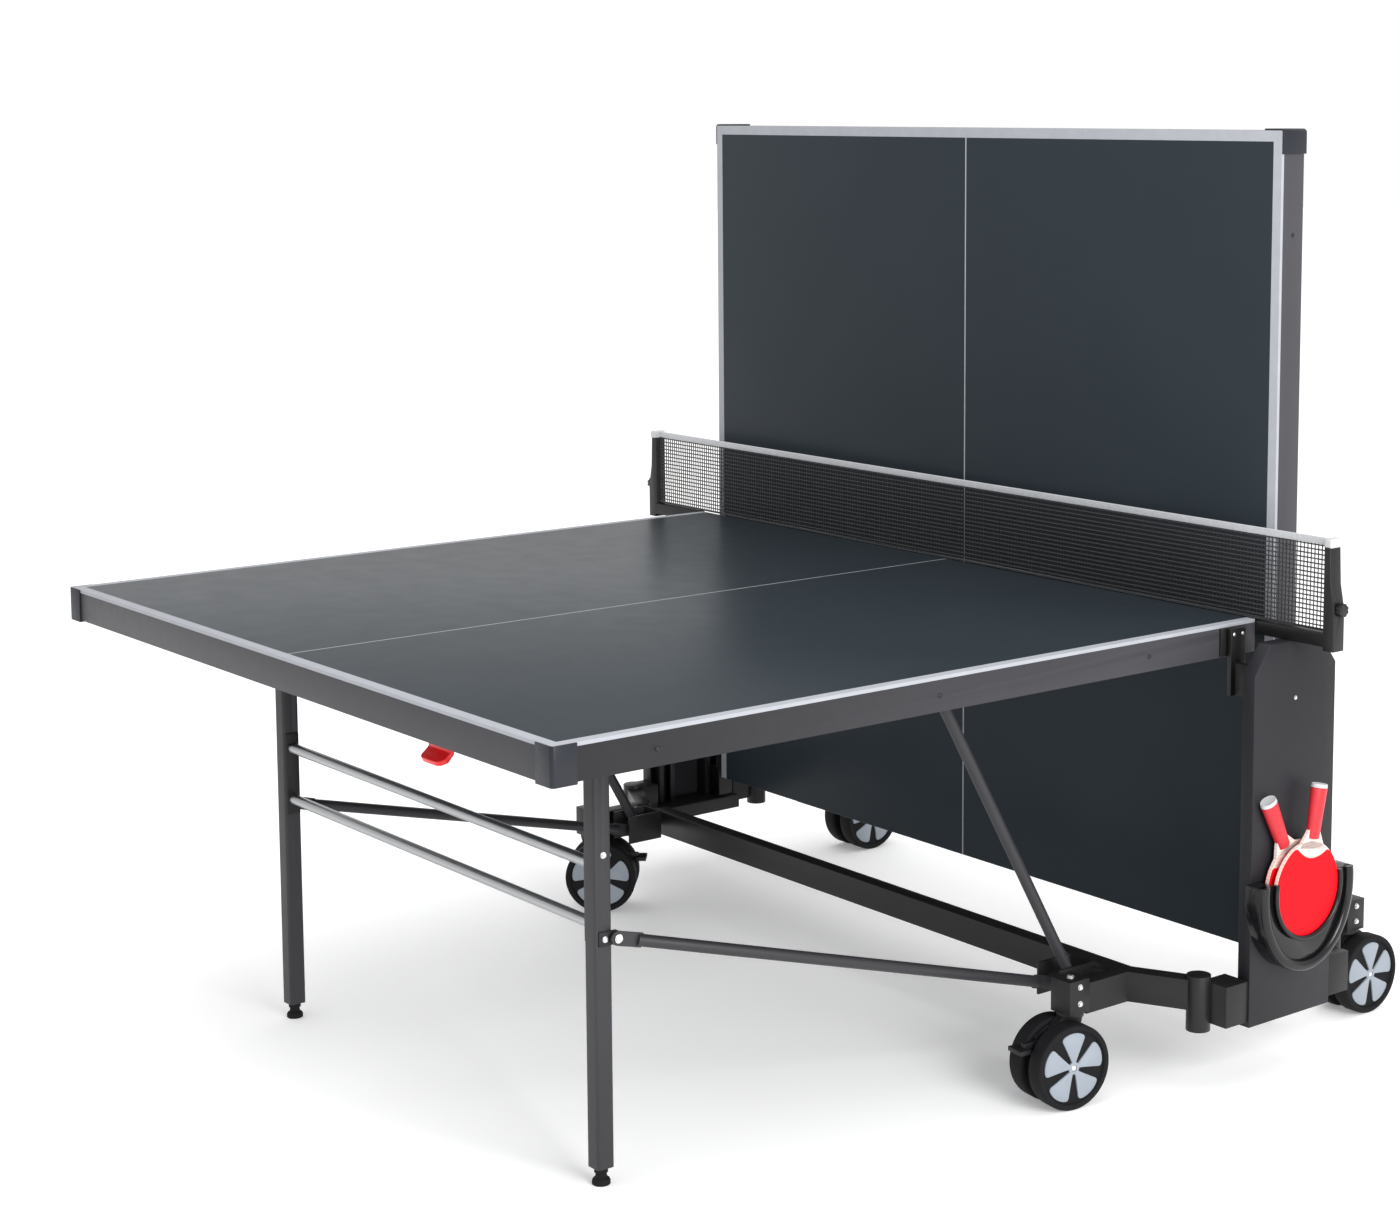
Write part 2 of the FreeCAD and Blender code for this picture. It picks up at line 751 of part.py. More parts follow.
def slide_rails():
    """Four upright channels inside the side plates, mouths inwards."""
    face = plate_face - plate_wall
    foot = tray_foot + tray_height
    head = plate_top - plate_shoulder + rail_head_reach
    rails = []
    for way in (-1, 1):
        y = way * hinge_setback
        outer = box(face - channel_depth, face, y - channel_width / 2, y + channel_width / 2, foot, head)
        half = channel_width / 2 - channel_wall
        hollow = box(face - channel_depth + channel_wall, face - channel_wall, y - half, y + half,
                     foot - overcut, head + overcut)
        mouth = box(face - channel_depth - overcut, face - channel_wall, y - channel_mouth / 2,
                    y + channel_mouth / 2, foot - overcut, head + overcut)
        rails += both_sides(outer.cut(hollow).cut(mouth))
    return rails


def frame_tube(x0, y0, x1, y1):
    """Rectangular tube on edge between two places of the plan, closed at its ends."""
    length = math.hypot(x1 - x0, y1 - y0)
    outer = box(0, length, -frame_width / 2, frame_width / 2, frame_foot, frame_foot + frame_depth)
    hollow = box(frame_wall, length - frame_wall, -frame_width / 2 + frame_wall, frame_width / 2 - frame_wall,
                 frame_foot + frame_wall, frame_foot + frame_depth - frame_wall)
    tube = outer.cut(hollow)
    tube.rotate(ORIGIN, Z_AXIS, math.degrees(math.atan2(y1 - y0, x1 - x0)))
    tube.translate(V(x0, y0, 0))
    return tube


def corner_block():
    """Block over a caster, with the stem's bore."""
    half = block_size / 2
    block = box(caster_spread - half, caster_spread + half, -caster_setback - half, -caster_setback + half,
                block_foot, block_foot + block_height)
    return block.cut(rod_z(stem_radius + running_clearance, caster_spread, -caster_setback,
                           block_foot - overcut, block_foot + stem_length + stem_end_gap))


def link_lug():
    """U of plate beside the corner block; the strut and the swing arm end inside it."""
    top = lug_foot + lug_height
    outer = box(lug_outer - lug_wall, lug_outer, -lug_front, -lug_back, lug_foot, top)
    inner = box(lug_inner, lug_inner + lug_wall, -lug_front, -lug_back, lug_foot, top)
    back = box(lug_inner, lug_outer, -lug_back, -lug_back + lug_wall, lug_foot, top)
    web = box(lug_outer - lug_wall, caster_spread - frame_width / 2, -lug_back - lug_wall,
              -lug_back + lug_wall, block_foot, frame_foot + frame_depth)
    return fuse([outer, inner, back, web])


def bent_tube():
    """Tube from the caster's block to the post, bent once."""
    start = -caster_setback + block_size / 2
    straight = frame_tube(caster_spread, start, caster_spread, -bend_setback)
    diagonal = frame_tube(caster_spread, -bend_setback, post_spread, -post_setback)
    knee = rod_z(frame_width / 2, caster_spread, -bend_setback, frame_foot, frame_foot + frame_depth)
    return fuse([straight, knee, diagonal]).cut(rod_z(post_radius, post_spread, -post_setback, post_foot,
                                                      post_foot + post_height))


def post():
    """Round tube at the foot of the side plate, with the bracket that joins the two."""
    head = post_foot + post_height
    bracket = box(post_spread, plate_face - plate_wall, -post_setback + post_radius / 2, -plate_half_width,
                  post_foot + post_bracket_margin, head - post_bracket_margin)
    tube = fuse([rod_z(post_radius, post_spread, -post_setback, post_foot, head), bracket])
    return tube.cut(rod_z(post_radius - post_wall, post_spread, -post_setback, post_foot - overcut,
                          head - post_wall))


def foot_tray():
    """Channel along the foot of the side plate, below the lowest place of the carriages."""
    top = tray_foot + tray_height
    outer = box(tray_inner, plate_face - plate_wall, -plate_half_width + plate_wall,
                plate_half_width - plate_wall, tray_foot, top)
    hollow = box(tray_inner + tray_wall, plate_face - plate_wall - tray_wall, -plate_half_width,
                 plate_half_width, tray_foot - overcut, top - tray_wall)
    return outer.cut(hollow)


def side_frame(side):
    """Front and rear corners of one side and the tray between them, all welded."""
    corner = [bent_tube(), corner_block(), link_lug(), post()]
    front = [on_side(shape, side) for shape in corner]
    rear = [turn_round(on_side(shape, -side)) for shape in corner]
    return front + rear + [on_side(foot_tray(), side)]


def cross_beam(way):
    """Tube across the chassis between the two side frames."""
    reach = caster_spread - frame_width / 2
    y = way * beam_setback
    half = frame_width / 2
    outer = box(-reach, reach, y - half, y + half, beam_foot, beam_foot + beam_depth)
    hollow = box(-reach + frame_wall, reach - frame_wall, y - half + frame_wall, y + half - frame_wall,
                 beam_foot + frame_wall, beam_foot + beam_depth - frame_wall)
    return outer.cut(hollow)


def chassis_bolts():
    """Bolt heads that show on the corner blocks, the lugs and the side plates."""
    block_face = caster_spread + block_size / 2
    right = [rod_x(bolt_radius, block_face, block_face + bolt_head,
                   (-caster_setback, block_foot + block_height * share)) for share in block_bolts]
    right.append(rod_x(bolt_radius, lug_outer, lug_outer + bolt_head, arm_ground))
    right.append(rod_z(nut_radius, caster_spread, -caster_setback, block_foot + block_height,
                       block_foot + block_height + bolt_head))
    plate_screw = rod_x(screw_radius, plate_face, plate_face + screw_head, (0, plate_top - plate_screw_drop))
    heads = both_sides(plate_screw)
    for head in right:
        pair = both_sides(head)
        heads += pair + [turn_round(shape) for shape in pair]
    return heads


# ================================================================ casters
def wheel(x0, x1, outer_side):
    """One tyre with its hub, its outer face recessed inside the rim; the axle runs through it."""
    place = (-wheel_centre, wheel_radius)
    disc = rod_x(wheel_radius, x0, x1, place)
    disc = disc.makeFillet(wheel_round, [e for e in disc.Edges if e.Closed])
    face = x1 if outer_side > 0 else x0
    recess = rod_x(wheel_radius - wheel_rim, face, face - outer_side * wheel_recess, place)
    return disc.cut(recess).cut(rod_x(axle_radius + running_clearance, x0 - overcut, x1 + overcut, place))


def wheel_pair():
    inner = wheel_gap / 2
    outer = inner + wheel_width
    return [wheel(caster_spread - outer, caster_spread - inner, -1),
            wheel(caster_spread + inner, caster_spread + outer, 1)]


def brake_pivot():
    """The brake's pin, as (y, z)."""
    return (-wheel_centre - brake_setback, wheel_radius + brake_rise)


def caster_housing():
    """Web between the wheels with the axle, the brake's pin, the swivel bearing and the stem."""
    half = wheel_gap / 2 - housing_side_gap
    x0 = caster_spread - half
    x1 = caster_spread + half
    y = -wheel_centre
    pin_y, pin_z = brake_pivot()
    foot = wheel_radius - web_drop
    neck = bearing_radius - bearing_lap
    web = extrude_x([(y - web_back, foot), (y + web_front, foot), (-caster_setback + neck, bearing_foot),
                     (-caster_setback - neck, bearing_foot), (pin_y - brake_boss, pin_z + brake_boss),
                     (pin_y - brake_boss, pin_z - brake_boss)], x0, x1)
    slot_half = brake_width / 2 + brake_side_gap
    notch = box(caster_spread - slot_half, caster_spread + slot_half, pin_y - brake_notch,
                pin_y + brake_notch, pin_z - 2 * brake_notch, pin_z + 2 * brake_notch)
    bearing_disc = rod_z(bearing_radius, caster_spread, -caster_setback, bearing_foot, block_foot)
    stem = rod_z(stem_radius, caster_spread, -caster_setback, block_foot, block_foot + stem_length)
    reach = wheel_gap / 2 + wheel_width - wheel_recess / 2
    axle = rod_x(axle_radius, caster_spread - reach, caster_spread + reach, (y, wheel_radius))
    pin = rod_x(brake_pin_radius, x0, x1, (pin_y, pin_z))
    return fuse([web.cut(notch), pin, bearing_disc, stem, axle])


def caster_brake():
    """Foot pedal between the wheels."""
    y, z = brake_pivot()
    half = brake_width / 2
    lever = box(caster_spread - half, caster_spread + half, y - brake_reach, y + brake_heel,
                z - brake_height / 2, z + brake_height / 2)
    pedal = box(caster_spread - pedal_width / 2, caster_spread + pedal_width / 2, y - pedal_reach,
                y - brake_reach + pedal_lap, z - brake_height / 2 - overcut,
                z - brake_height / 2 - overcut + pedal_height)
    bore = rod_x(brake_pin_radius + running_clearance, caster_spread - brake_width,
                 caster_spread + brake_width, (y, z))
    return fuse([lever, pedal]).cut(bore)


def place_caster(shape, name):
    """Take the front right caster's piece to its own corner and turn it about the stem."""
    moved = shape.copy()
    if name.startswith("rear"):
        moved = moved.mirror(ORIGIN, Y_AXIS)
    if name.endswith("left"):
        moved = mirror_x(moved)
    x, y = caster_stem(name)
    moved.rotate(V(x, y, 0), Z_AXIS, caster_turn[name])
    return moved


def caster_stem(name):
    x = -caster_spread if name.endswith("left") else caster_spread
    y = caster_setback if name.startswith("rear") else -caster_setback
    return x, y


# ================================================================ net
def net_foot():
    return surface_height + net_clearance


def net_post():
    """Arm that stands on the side plate's top and carries the upright post."""
    arm = box(net_arm_start, net_half_length + net_post_depth, -net_arm_width / 2, net_arm_width / 2,
              plate_top, plate_top + net_arm_height)
    top = surface_height + net_height
    x0 = net_half_length
    x1 = x0 + net_post_depth
    outline = [(x0, plate_top - net_post_lap), (x1 + net_post_flare, plate_top - net_post_lap),
               (x1 + net_post_flare, knob_height), (x1, knob_height + net_post_shoulder),
               (x1 - net_post_taper, top), (x0, top)]
    wire = Part.makePolygon([V(x, -net_post_width / 2, z) for x, z in outline + outline[:1]])
    upright_post = Part.Face(wire).extrude(V(0, net_post_width, 0))
    body = fuse([arm, upright_post])
    return body.cut(rod_x(knob_shaft_radius + running_clearance, x0 + net_post_depth / 2,
                          x1 + net_post_flare + overcut, (0, knob_height)))


def net_knob():
    """Tension screw with a fluted head."""
    face = net_half_length + net_post_depth + net_post_flare + knob_gap
    head = rod_x(knob_radius, face, face + knob_length / 2, (0, knob_height))
    shaft = rod_x(knob_shaft_radius, net_half_length + net_post_depth / 2 + knob_gap, face, (0, knob_height))
    ring = knob_radius + flute_radius / 2
    for k in range(knob_flutes):
        turn = 2 * math.pi * k / knob_flutes
        place = (ring * math.cos(turn), knob_height + ring * math.sin(turn))
        head = head.cut(rod_x(flute_radius, face - overcut, face + knob_length / 2 + overcut, place))
    return fuse([head, shaft])


def net_sheet():
    half = net_thickness / 2
    return box(-net_half_length, net_half_length, -half, half, net_foot(), surface_height + net_height)


# ================================================================ rackets and holders
def ellipse_plate(x0, x1, y, z, half_y, half_z):
    """An elliptical plate standing across X."""
    disc = Part.makeCylinder(1.0, 1.0, ORIGIN, X_AXIS)
    grow = FreeCAD.Matrix()
    grow.scale(V(x1 - x0, half_y, half_z))
    plate = disc.transformGeometry(grow)
    plate.translate(V(x0, y, z))
    return plate


def racket(name):
    """Blade with its rubbers and handle, leaning in the holder."""
    x = racket_planes[name]
    half = blade_thickness / 2
    blade = ellipse_plate(x - half, x + half, 0, racket_centre, blade_half_width, blade_half_height)
    foot = racket_centre + blade_half_height
    shoulder = extrude_x([(-handle_width, foot - shoulder_drop), (handle_width, foot - shoulder_drop),
                          (handle_width / 2, foot + shoulder_rise),
                          (-handle_width / 2, foot + shoulder_rise)],
                         x - shoulder_thickness / 2, x + shoulder_thickness / 2)
    handle = box(x - handle_thickness / 2, x + handle_thickness / 2, -handle_width / 2, handle_width / 2,
                 foot + shoulder_rise / 2, foot + handle_length)
    handle = round_upright_edges(handle, handle_round)
    body = fuse([blade, shoulder, handle])
    body.rotate(V(x, 0, racket_centre), X_AXIS, racket_tilts[name])
    return body


def racket_holder():
    """Cradle with an elliptical pocket, open at the top and through a window in its front lip."""
    x0 = plate_face
    x1 = plate_face + holder_depth
    body = ellipse_plate(x0, x1, 0, racket_centre, holder_half_width, holder_drop)
    top = racket_centre + holder_top
    body = body.cut(box(x0 - overcut, x1 + overcut, -2 * holder_half_width, 2 * holder_half_width, top,
                        top + 2 * holder_drop))
    pocket = ellipse_plate(x0 + holder_back, x1 - holder_lip, 0, racket_centre, holder_pocket_width,
                           holder_pocket_drop)
    above = box(x0 + holder_back, x1 - holder_lip, -holder_pocket_width, holder_pocket_width,
                racket_centre, top + overcut)
    window = ellipse_plate(x0 + holder_back, x1 + overcut, 0, racket_centre, holder_lip_drop, holder_lip_drop)
    window_above = box(x0 + holder_back, x1 + overcut, -holder_lip_drop, holder_lip_drop, racket_centre,
                       top + overcut)
    return body.cut(pocket).cut(above).cut(window).cut(window_above)


# ================================================================ writing the parts
def table():
    """All nodes, name to list of solids, about the net line."""
    nodes = {}
    for name, (shapes, fold) in half_table().items():
        nodes["front_" + name] = shapes
        nodes["rear_" + name] = [turn_round(fold(shape)) for shape in shapes]
    # half a turn swaps left and right, so the names go with the side the piece ends up on
    for kind in ("leg", "foot"):
        left, right = "rear_%s_left" % kind, "rear_%s_right" % kind
        nodes[left], nodes[right] = nodes[right], nodes[left]
    for side_name, side in SIDES:
        nodes["side_plate_" + side_name] = [on_side(side_plate(), side)]
        nodes["side_frame_" + side_name] = side_frame(side)
        nodes["net_post_" + side_name] = [on_side(net_post(), side)]
        nodes["net_knob_" + side_name] = [on_side(net_knob(), side)]
        nodes["racket_holder_" + side_name] = [on_side(racket_holder(), side)]
    nodes["slide_rails"] = slide_rails()
    nodes["front_beam"] = [cross_beam(-1)]
    nodes["rear_beam"] = [cross_beam(1)]
    nodes["chassis_bolts"] = chassis_bolts()
    nodes["net"] = [net_sheet()]
    for name in racket_planes:
        nodes[name] = [racket(name)]
    for name in caster_turn:
        nodes["caster_housing_" + name] = [place_caster(caster_housing(), name)]
        nodes["caster_wheels_" + name] = [place_caster(shape, name) for shape in wheel_pair()]
    for name in braked:
        nodes["caster_brake_" + name] = [place_caster(caster_brake(), name)]
    return nodes


def write(nodes):
    os.makedirs("parts", exist_ok=True)
    for name, shapes in sorted(nodes.items()):
        shape = shapes[0] if len(shapes) == 1 else Part.makeCompound(shapes)
        placed = shape.copy()
        placed.translate(origin_shift)
        placed.exportStep("parts/%s.step" % name)


nodes = table()
write(nodes)
print(len(nodes), "nodes written")
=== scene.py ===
# %% [markdown]
# # A folding table tennis table
#
# The real table is a steel chassis on four casters that carries two halves. One half lies flat
# for play on its own legs, and the other stands folded, with its legs tucked inside. The packed
# solids already hold every size, place and joint, so they are the measure for all that follows.
# Each step keeps a solid, rounds a copy of it, or models a finer piece in its place.

# %% Load the packed table
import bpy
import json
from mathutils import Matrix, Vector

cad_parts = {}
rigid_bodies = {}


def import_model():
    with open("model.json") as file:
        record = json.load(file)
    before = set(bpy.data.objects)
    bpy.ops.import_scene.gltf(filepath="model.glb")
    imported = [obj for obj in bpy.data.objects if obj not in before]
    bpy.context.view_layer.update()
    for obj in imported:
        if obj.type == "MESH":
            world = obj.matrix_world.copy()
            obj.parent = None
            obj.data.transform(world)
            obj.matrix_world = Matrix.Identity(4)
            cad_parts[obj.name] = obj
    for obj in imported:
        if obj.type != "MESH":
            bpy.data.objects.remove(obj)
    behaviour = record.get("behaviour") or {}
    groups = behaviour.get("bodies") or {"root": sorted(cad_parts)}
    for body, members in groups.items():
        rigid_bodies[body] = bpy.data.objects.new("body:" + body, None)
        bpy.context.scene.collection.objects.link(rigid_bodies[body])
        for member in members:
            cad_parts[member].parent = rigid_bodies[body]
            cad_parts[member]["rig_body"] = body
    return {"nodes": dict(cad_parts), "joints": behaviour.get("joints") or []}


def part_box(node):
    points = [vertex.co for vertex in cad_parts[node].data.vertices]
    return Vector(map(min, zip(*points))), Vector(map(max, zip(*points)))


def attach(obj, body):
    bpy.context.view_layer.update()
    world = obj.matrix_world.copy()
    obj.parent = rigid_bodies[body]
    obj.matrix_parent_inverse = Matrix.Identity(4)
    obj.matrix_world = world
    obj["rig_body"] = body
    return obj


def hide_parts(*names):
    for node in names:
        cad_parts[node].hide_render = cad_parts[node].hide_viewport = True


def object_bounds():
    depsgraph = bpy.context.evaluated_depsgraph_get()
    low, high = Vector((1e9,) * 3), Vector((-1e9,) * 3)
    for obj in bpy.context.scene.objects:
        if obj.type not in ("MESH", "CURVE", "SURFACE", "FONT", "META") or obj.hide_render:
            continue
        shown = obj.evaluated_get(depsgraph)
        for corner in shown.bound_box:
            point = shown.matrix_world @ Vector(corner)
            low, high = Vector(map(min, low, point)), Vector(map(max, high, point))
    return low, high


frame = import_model()
print("packed nodes:", len(frame["nodes"]))

# %% [markdown]
# ## Tools and the first measure
#
# Shapes are made with bmesh and placed with matrices and vectors. Lengths are written in
# millimetres and turned into metres by one factor. The packed box is measured before anything is
# added.

# %% Modules, and the size of the packed table
import json
import math

import bmesh
import bpy
from mathutils import Matrix, Vector

MM = 0.001


def middle_of(box):
    return (box[0] + box[1]) / 2


packed_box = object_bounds()
print("packed table, metres:", [round(high - low, 3) for low, high in zip(*packed_box)])

# %% [markdown]
# ## Camera
#
# The view is that of someone who stands off the right-hand corner of the half in play. A long
# lens keeps the table's edges nearly parallel. A little of the framing is done with the lens
# shift, which keeps the legs nearly upright where a steeper tilt would make them lean.

# %% Camera
EYE = Vector((3.6438, -2.7686, 1.5919))
HEADING = 50.09
TILT_DOWN = 7.08
lens = bpy.data.cameras.new("view")
lens.lens = 68.34
lens.sensor_width = 36.0
lens.shift_x = -0.12
lens.shift_y = -0.12
viewer = bpy.data.objects.new("viewer", lens)
viewer.location = EYE
viewer.rotation_euler = (math.radians(90 - TILT_DOWN), 0, math.radians(HEADING))
bpy.context.scene.collection.objects.link(viewer)
bpy.context.scene.camera = viewer
print("camera height", round(EYE.z, 3))

# %% [markdown]
# ## Floor and light
#
# The table stands on a plain pale floor. Even light from all round keeps the shadows soft. One
# broad lamp on the right makes the long side of the apron brighter than the end of it, and one
# overhead lays a sheen on the board.

# %% Floor and light
FLOOR_SIZE = 60.0


def area_lamp(name, place, target, size, power):
    """A square softbox that faces a target."""
    lamp = bpy.data.lights.new(name, "AREA")
    lamp.shape = "SQUARE"
    lamp.size = size
    lamp.energy = power
    holder = bpy.data.objects.new(name, lamp)
    holder.location = place
    holder.rotation_euler = (Vector(target) - Vector(place)).to_track_quat("-Z", "Y").to_euler()
    bpy.context.scene.collection.objects.link(holder)


bm = bmesh.new()
bmesh.ops.create_grid(bm, x_segments=1, y_segments=1, size=FLOOR_SIZE / 2)
floor_mesh = bpy.data.meshes.new("floor")
bm.to_mesh(floor_mesh)
bm.free()
floor = bpy.data.objects.new("floor", floor_mesh)
bpy.context.scene.collection.objects.link(floor)

middle = middle_of(packed_box)
area_lamp("side_light", (5.0, -0.6, 2.4), middle, 2.5, 200)
area_lamp("top_light", (0.3, -0.4, 4.5), middle, 3.0, 50)
area_lamp("front_light", (1.5, -5.5, 2.2), middle, 2.5, 8)

sky = bpy.data.worlds.new("studio")
sky.use_nodes = True
sky.node_tree.nodes["Background"].inputs["Color"].default_value = (1.0, 1.0, 1.0, 1)
sky.node_tree.nodes["Background"].inputs["Strength"].default_value = 1.0
bpy.context.scene.world = sky
bpy.context.scene.view_settings.view_transform = "Standard"

# %% [markdown]
# ## Writing a finish as arithmetic
#
# A finish is a small graph of shader nodes. Wiring it by hand hides the idea, so one class stands
# for a socket and lets Python's operators add the maths nodes, and another holds the material and
# adds any other node. A mask then reads as a sum, such as the inside of a line less its middle.

# %% Sockets
class Wire:
    """A socket that takes part in arithmetic."""

    def __init__(self, finish, socket):
        self.finish = finish
        self.socket = socket

    def joined(self, operation, first, second):
        return self.finish.node("ShaderNodeMath", {"operation": operation}, {0: first, 1: second})

    def __add__(self, other):
        return self.joined("ADD", self, other)

    def __radd__(self, other):
        return self.joined("ADD", other, self)

    def __sub__(self, other):
        return self.joined("SUBTRACT", self, other)

    def __rsub__(self, other):
        return self.joined("SUBTRACT", other, self)

    def __mul__(self, other):
        return self.joined("MULTIPLY", self, other)

    def __rmul__(self, other):
        return self.joined("MULTIPLY", other, self)

    def __gt__(self, other):
        return self.joined("GREATER_THAN", self, other)

    def __lt__(self, other):
        return self.joined("LESS_THAN", self, other)

    def __mod__(self, other):
        return self.joined("FLOORED_MODULO", self, other)

    def __abs__(self):
        return self.joined("ABSOLUTE", self, 0.0)


print("operators:", [name for name in vars(Wire) if name.startswith("__")])

# %% [markdown]
# ## The finish that the wires belong to
#
# Every material of the table is one Principled shader with a few nodes before it. The class below
# makes any node from its type, settings and inputs, and has short names for the few that all the
# finishes share: the place on the piece, soft noise, a blend of two colours and a fine relief.

# %% Finishes
class Finish:
    """A procedural material around one Principled shader."""

    def __init__(self, name, constants):
        self.material = bpy.data.materials.new(name)
        self.material.use_nodes = True
        self.tree = self.material.node_tree
        self.shader = self.tree.nodes["Principled BSDF"]
        for socket, value in constants.items():
            self.shader.inputs[socket].default_value = value

    def feed(self, socket, value):
        if isinstance(value, Wire):
            self.tree.links.new(value.socket, socket)
        else:
            socket.default_value = value

    def node(self, kind, settings, inputs, output=0):
        """Add a node, apply its settings, feed its inputs and give one of its outputs."""
        made = self.tree.nodes.new(kind)
        for name, value in settings.items():
            setattr(made, name, value)
        for name, value in inputs.items():
            self.feed(made.inputs[name], value)
        return Wire(self, made.outputs[output])

    def shade(self, name, value):
        """Feed one of the shader's own inputs."""
        self.feed(self.shader.inputs[name], value)

    def place(self):
        return self.node("ShaderNodeTexCoord", {}, {}, "Object")

    def axis(self, name):
        """One coordinate of the point, in metres."""
        return self.node("ShaderNodeSeparateXYZ", {}, {"Vector": self.place()}, name)

    def noise(self, size, detail=2.0, vector=None):
        """Soft noise from 0 to 1, whose lumps are about this large in metres."""
        return self.node("ShaderNodeTexNoise", {}, {"Vector": vector or self.place(), "Scale": 1 / size,
                                                    "Detail": detail}, "Fac")

    def colours(self, share, first, second):
        return self.node("ShaderNodeMix", {"data_type": "RGBA"}, {0: share, 6: first, 7: second}, 2)

    def joined_mask(self, *masks):
        """One where any of the masks is one."""
        return sum(masks[1:], masks[0]) > 0.5

    def bump(self, height, depth):
        """Raise the surface by a height from 0 to 1, to this depth in metres."""
        self.shade("Normal", self.node("ShaderNodeBump", {}, {"Height": height, "Distance": depth}))


def shade_of(colour, share):
    """A lighter or darker colour, with its alpha."""
    return tuple(min(1.0, c * share) for c in colour) + (1,)


print("finish tools ready")

# %% [markdown]
# ## Powder coat
#
# Nearly all of the steel is powder coated. The coat is satin, and close to it shows a fine orange
# peel. Two noises give that: a small one for the peel and a larger one that makes the sheen vary.
# The same recipe serves the anthracite legs, the aprons and the black chassis.

# %% Powder coat
def powder_coat(name, colour, roughness=0.45, peel=1.4 * MM):
    finish = Finish(name, {"IOR": 1.45, "Specular IOR Level": 0.35})
    cloud = finish.noise(0.12, 3.0)
    finish.shade("Base Color", finish.colours(cloud, shade_of(colour, 0.9), shade_of(colour, 1.1)))
    finish.shade("Roughness", roughness + 0.1 * (finish.noise(20 * MM) - 0.5))
    finish.bump(finish.noise(peel, 1.0), 0.012 * MM)
    return finish.material


apron_coat = powder_coat("anthracite_apron", (0.044, 0.043, 0.049))
leg_coat = powder_coat("anthracite_leg", (0.030, 0.029, 0.033))
plate_coat = powder_coat("anthracite_plate", (0.010, 0.010, 0.013), 0.5)
chassis_coat = powder_coat("black_chassis", (0.011, 0.010, 0.010), 0.42)
print("powder coats:", [coat.name for coat in (apron_coat, leg_coat, plate_coat, chassis_coat)])

# %% [markdown]
# ## Moulded plastic, rubber and bare metal
#
# Moulded parts have a fine leathery grain, and the racket holder is polished instead. Rubber is
# duller and slightly dusty. The cross tubes are bare zinc, brushed along their length, so their
# noise is stretched along the tube.

# %% Plastic, rubber and metal
def moulded(name, colour, roughness, grain=0.08 * MM, grain_size=0.8 * MM, gloss=0.4):
    finish = Finish(name, {"IOR": 1.46, "Specular IOR Level": gloss})
    finish.shade("Base Color", finish.colours(finish.noise(30 * MM), shade_of(colour, 0.92),
                                              shade_of(colour, 1.08)))
    finish.shade("Roughness", roughness + 0.12 * (finish.noise(9 * MM) - 0.5))
    finish.bump(finish.noise(grain_size, 1.0), grain)
    return finish.material


def dusty_rubber(name, colour):
    finish = Finish(name, {"IOR": 1.5, "Specular IOR Level": 0.18})
    dust = finish.noise(14 * MM, 4.0)
    finish.shade("Base Color", finish.colours(dust, shade_of(colour, 0.8), shade_of(colour, 1.5)))
    finish.shade("Roughness", 0.65 + 0.2 * dust)
    finish.bump(finish.noise(1.1 * MM), 0.1 * MM)
    return finish.material


def brushed(name, colour, roughness, along):
    """Bare metal with fine streaks along one axis."""
    finish = Finish(name, {"Metallic": 1.0})
    stretch = [1 / 40 if k == along else 1.0 for k in range(3)]
    streaky = finish.node("ShaderNodeMapping", {}, {"Vector": finish.place(), "Scale": stretch})
    streaks = finish.noise(1.2 * MM, 3.0, streaky)
    finish.shade("Base Color", finish.colours(streaks, shade_of(colour, 0.8), shade_of(colour, 1.1)))
    finish.shade("Roughness", roughness + 0.15 * (streaks - 0.5))
    finish.bump(streaks, 0.03 * MM)
    return finish.material


guard_plastic = moulded("blue_black_guard", (0.007, 0.009, 0.015), 0.42)
carriage_plastic = moulded("black_carriage", (0.006, 0.006, 0.006), 0.4)
caster_plastic = moulded("black_caster", (0.007, 0.007, 0.008), 0.45)
net_plastic = moulded("black_net_post", (0.007, 0.007, 0.007), 0.4)
cap_plastic = moulded("pale_cap", (0.48, 0.49, 0.50), 0.4)
holder_plastic = moulded("polished_holder", (0.006, 0.006, 0.007), 0.18, 0.01 * MM, 3 * MM)
lever_plastic = moulded("red_lever", (0.72, 0.012, 0.016), 0.3)
hub_plastic = moulded("blue_grey_hub", (0.26, 0.29, 0.33), 0.42)
tyre_rubber = dusty_rubber("black_tyre", (0.006, 0.006, 0.007))
foot_rubber = dusty_rubber("black_foot", (0.007, 0.007, 0.007))
zinc = brushed("zinc_tube", (0.42, 0.43, 0.44), 0.36, 0)
bolt_zinc = brushed("zinc_bolt", (0.78, 0.78, 0.79), 0.28, 2)
print("materials so far:", len(bpy.data.materials))

# %% [markdown]
# ## The floor's finish
#
# Plain and pale, with just enough roughness to take a soft shadow.

# %% Floor finish
floor_finish = Finish("pale_floor", {"Base Color": (0.97, 0.97, 0.97, 1), "Roughness": 0.8,
                                     "Specular IOR Level": 0.1, "Emission Color": (1, 1, 1, 1),
                                     "Emission Strength": 0.2})
floor.data.materials.append(floor_finish.material)
print("floor:", floor_finish.material.name)

# %% [markdown]
# ## Rounding the packed solids
#
# Folded sheet and welded tube never end in a razor edge, and it is the thin highlight along an
# edge that makes steel look like steel. A packed solid's mesh is loose triangles, so a copy of it
# is merged, its flat parts are joined into whole faces, and every sharp edge is bevelled.

# %% Rounded copies of solids
SHARP = math.radians(38)


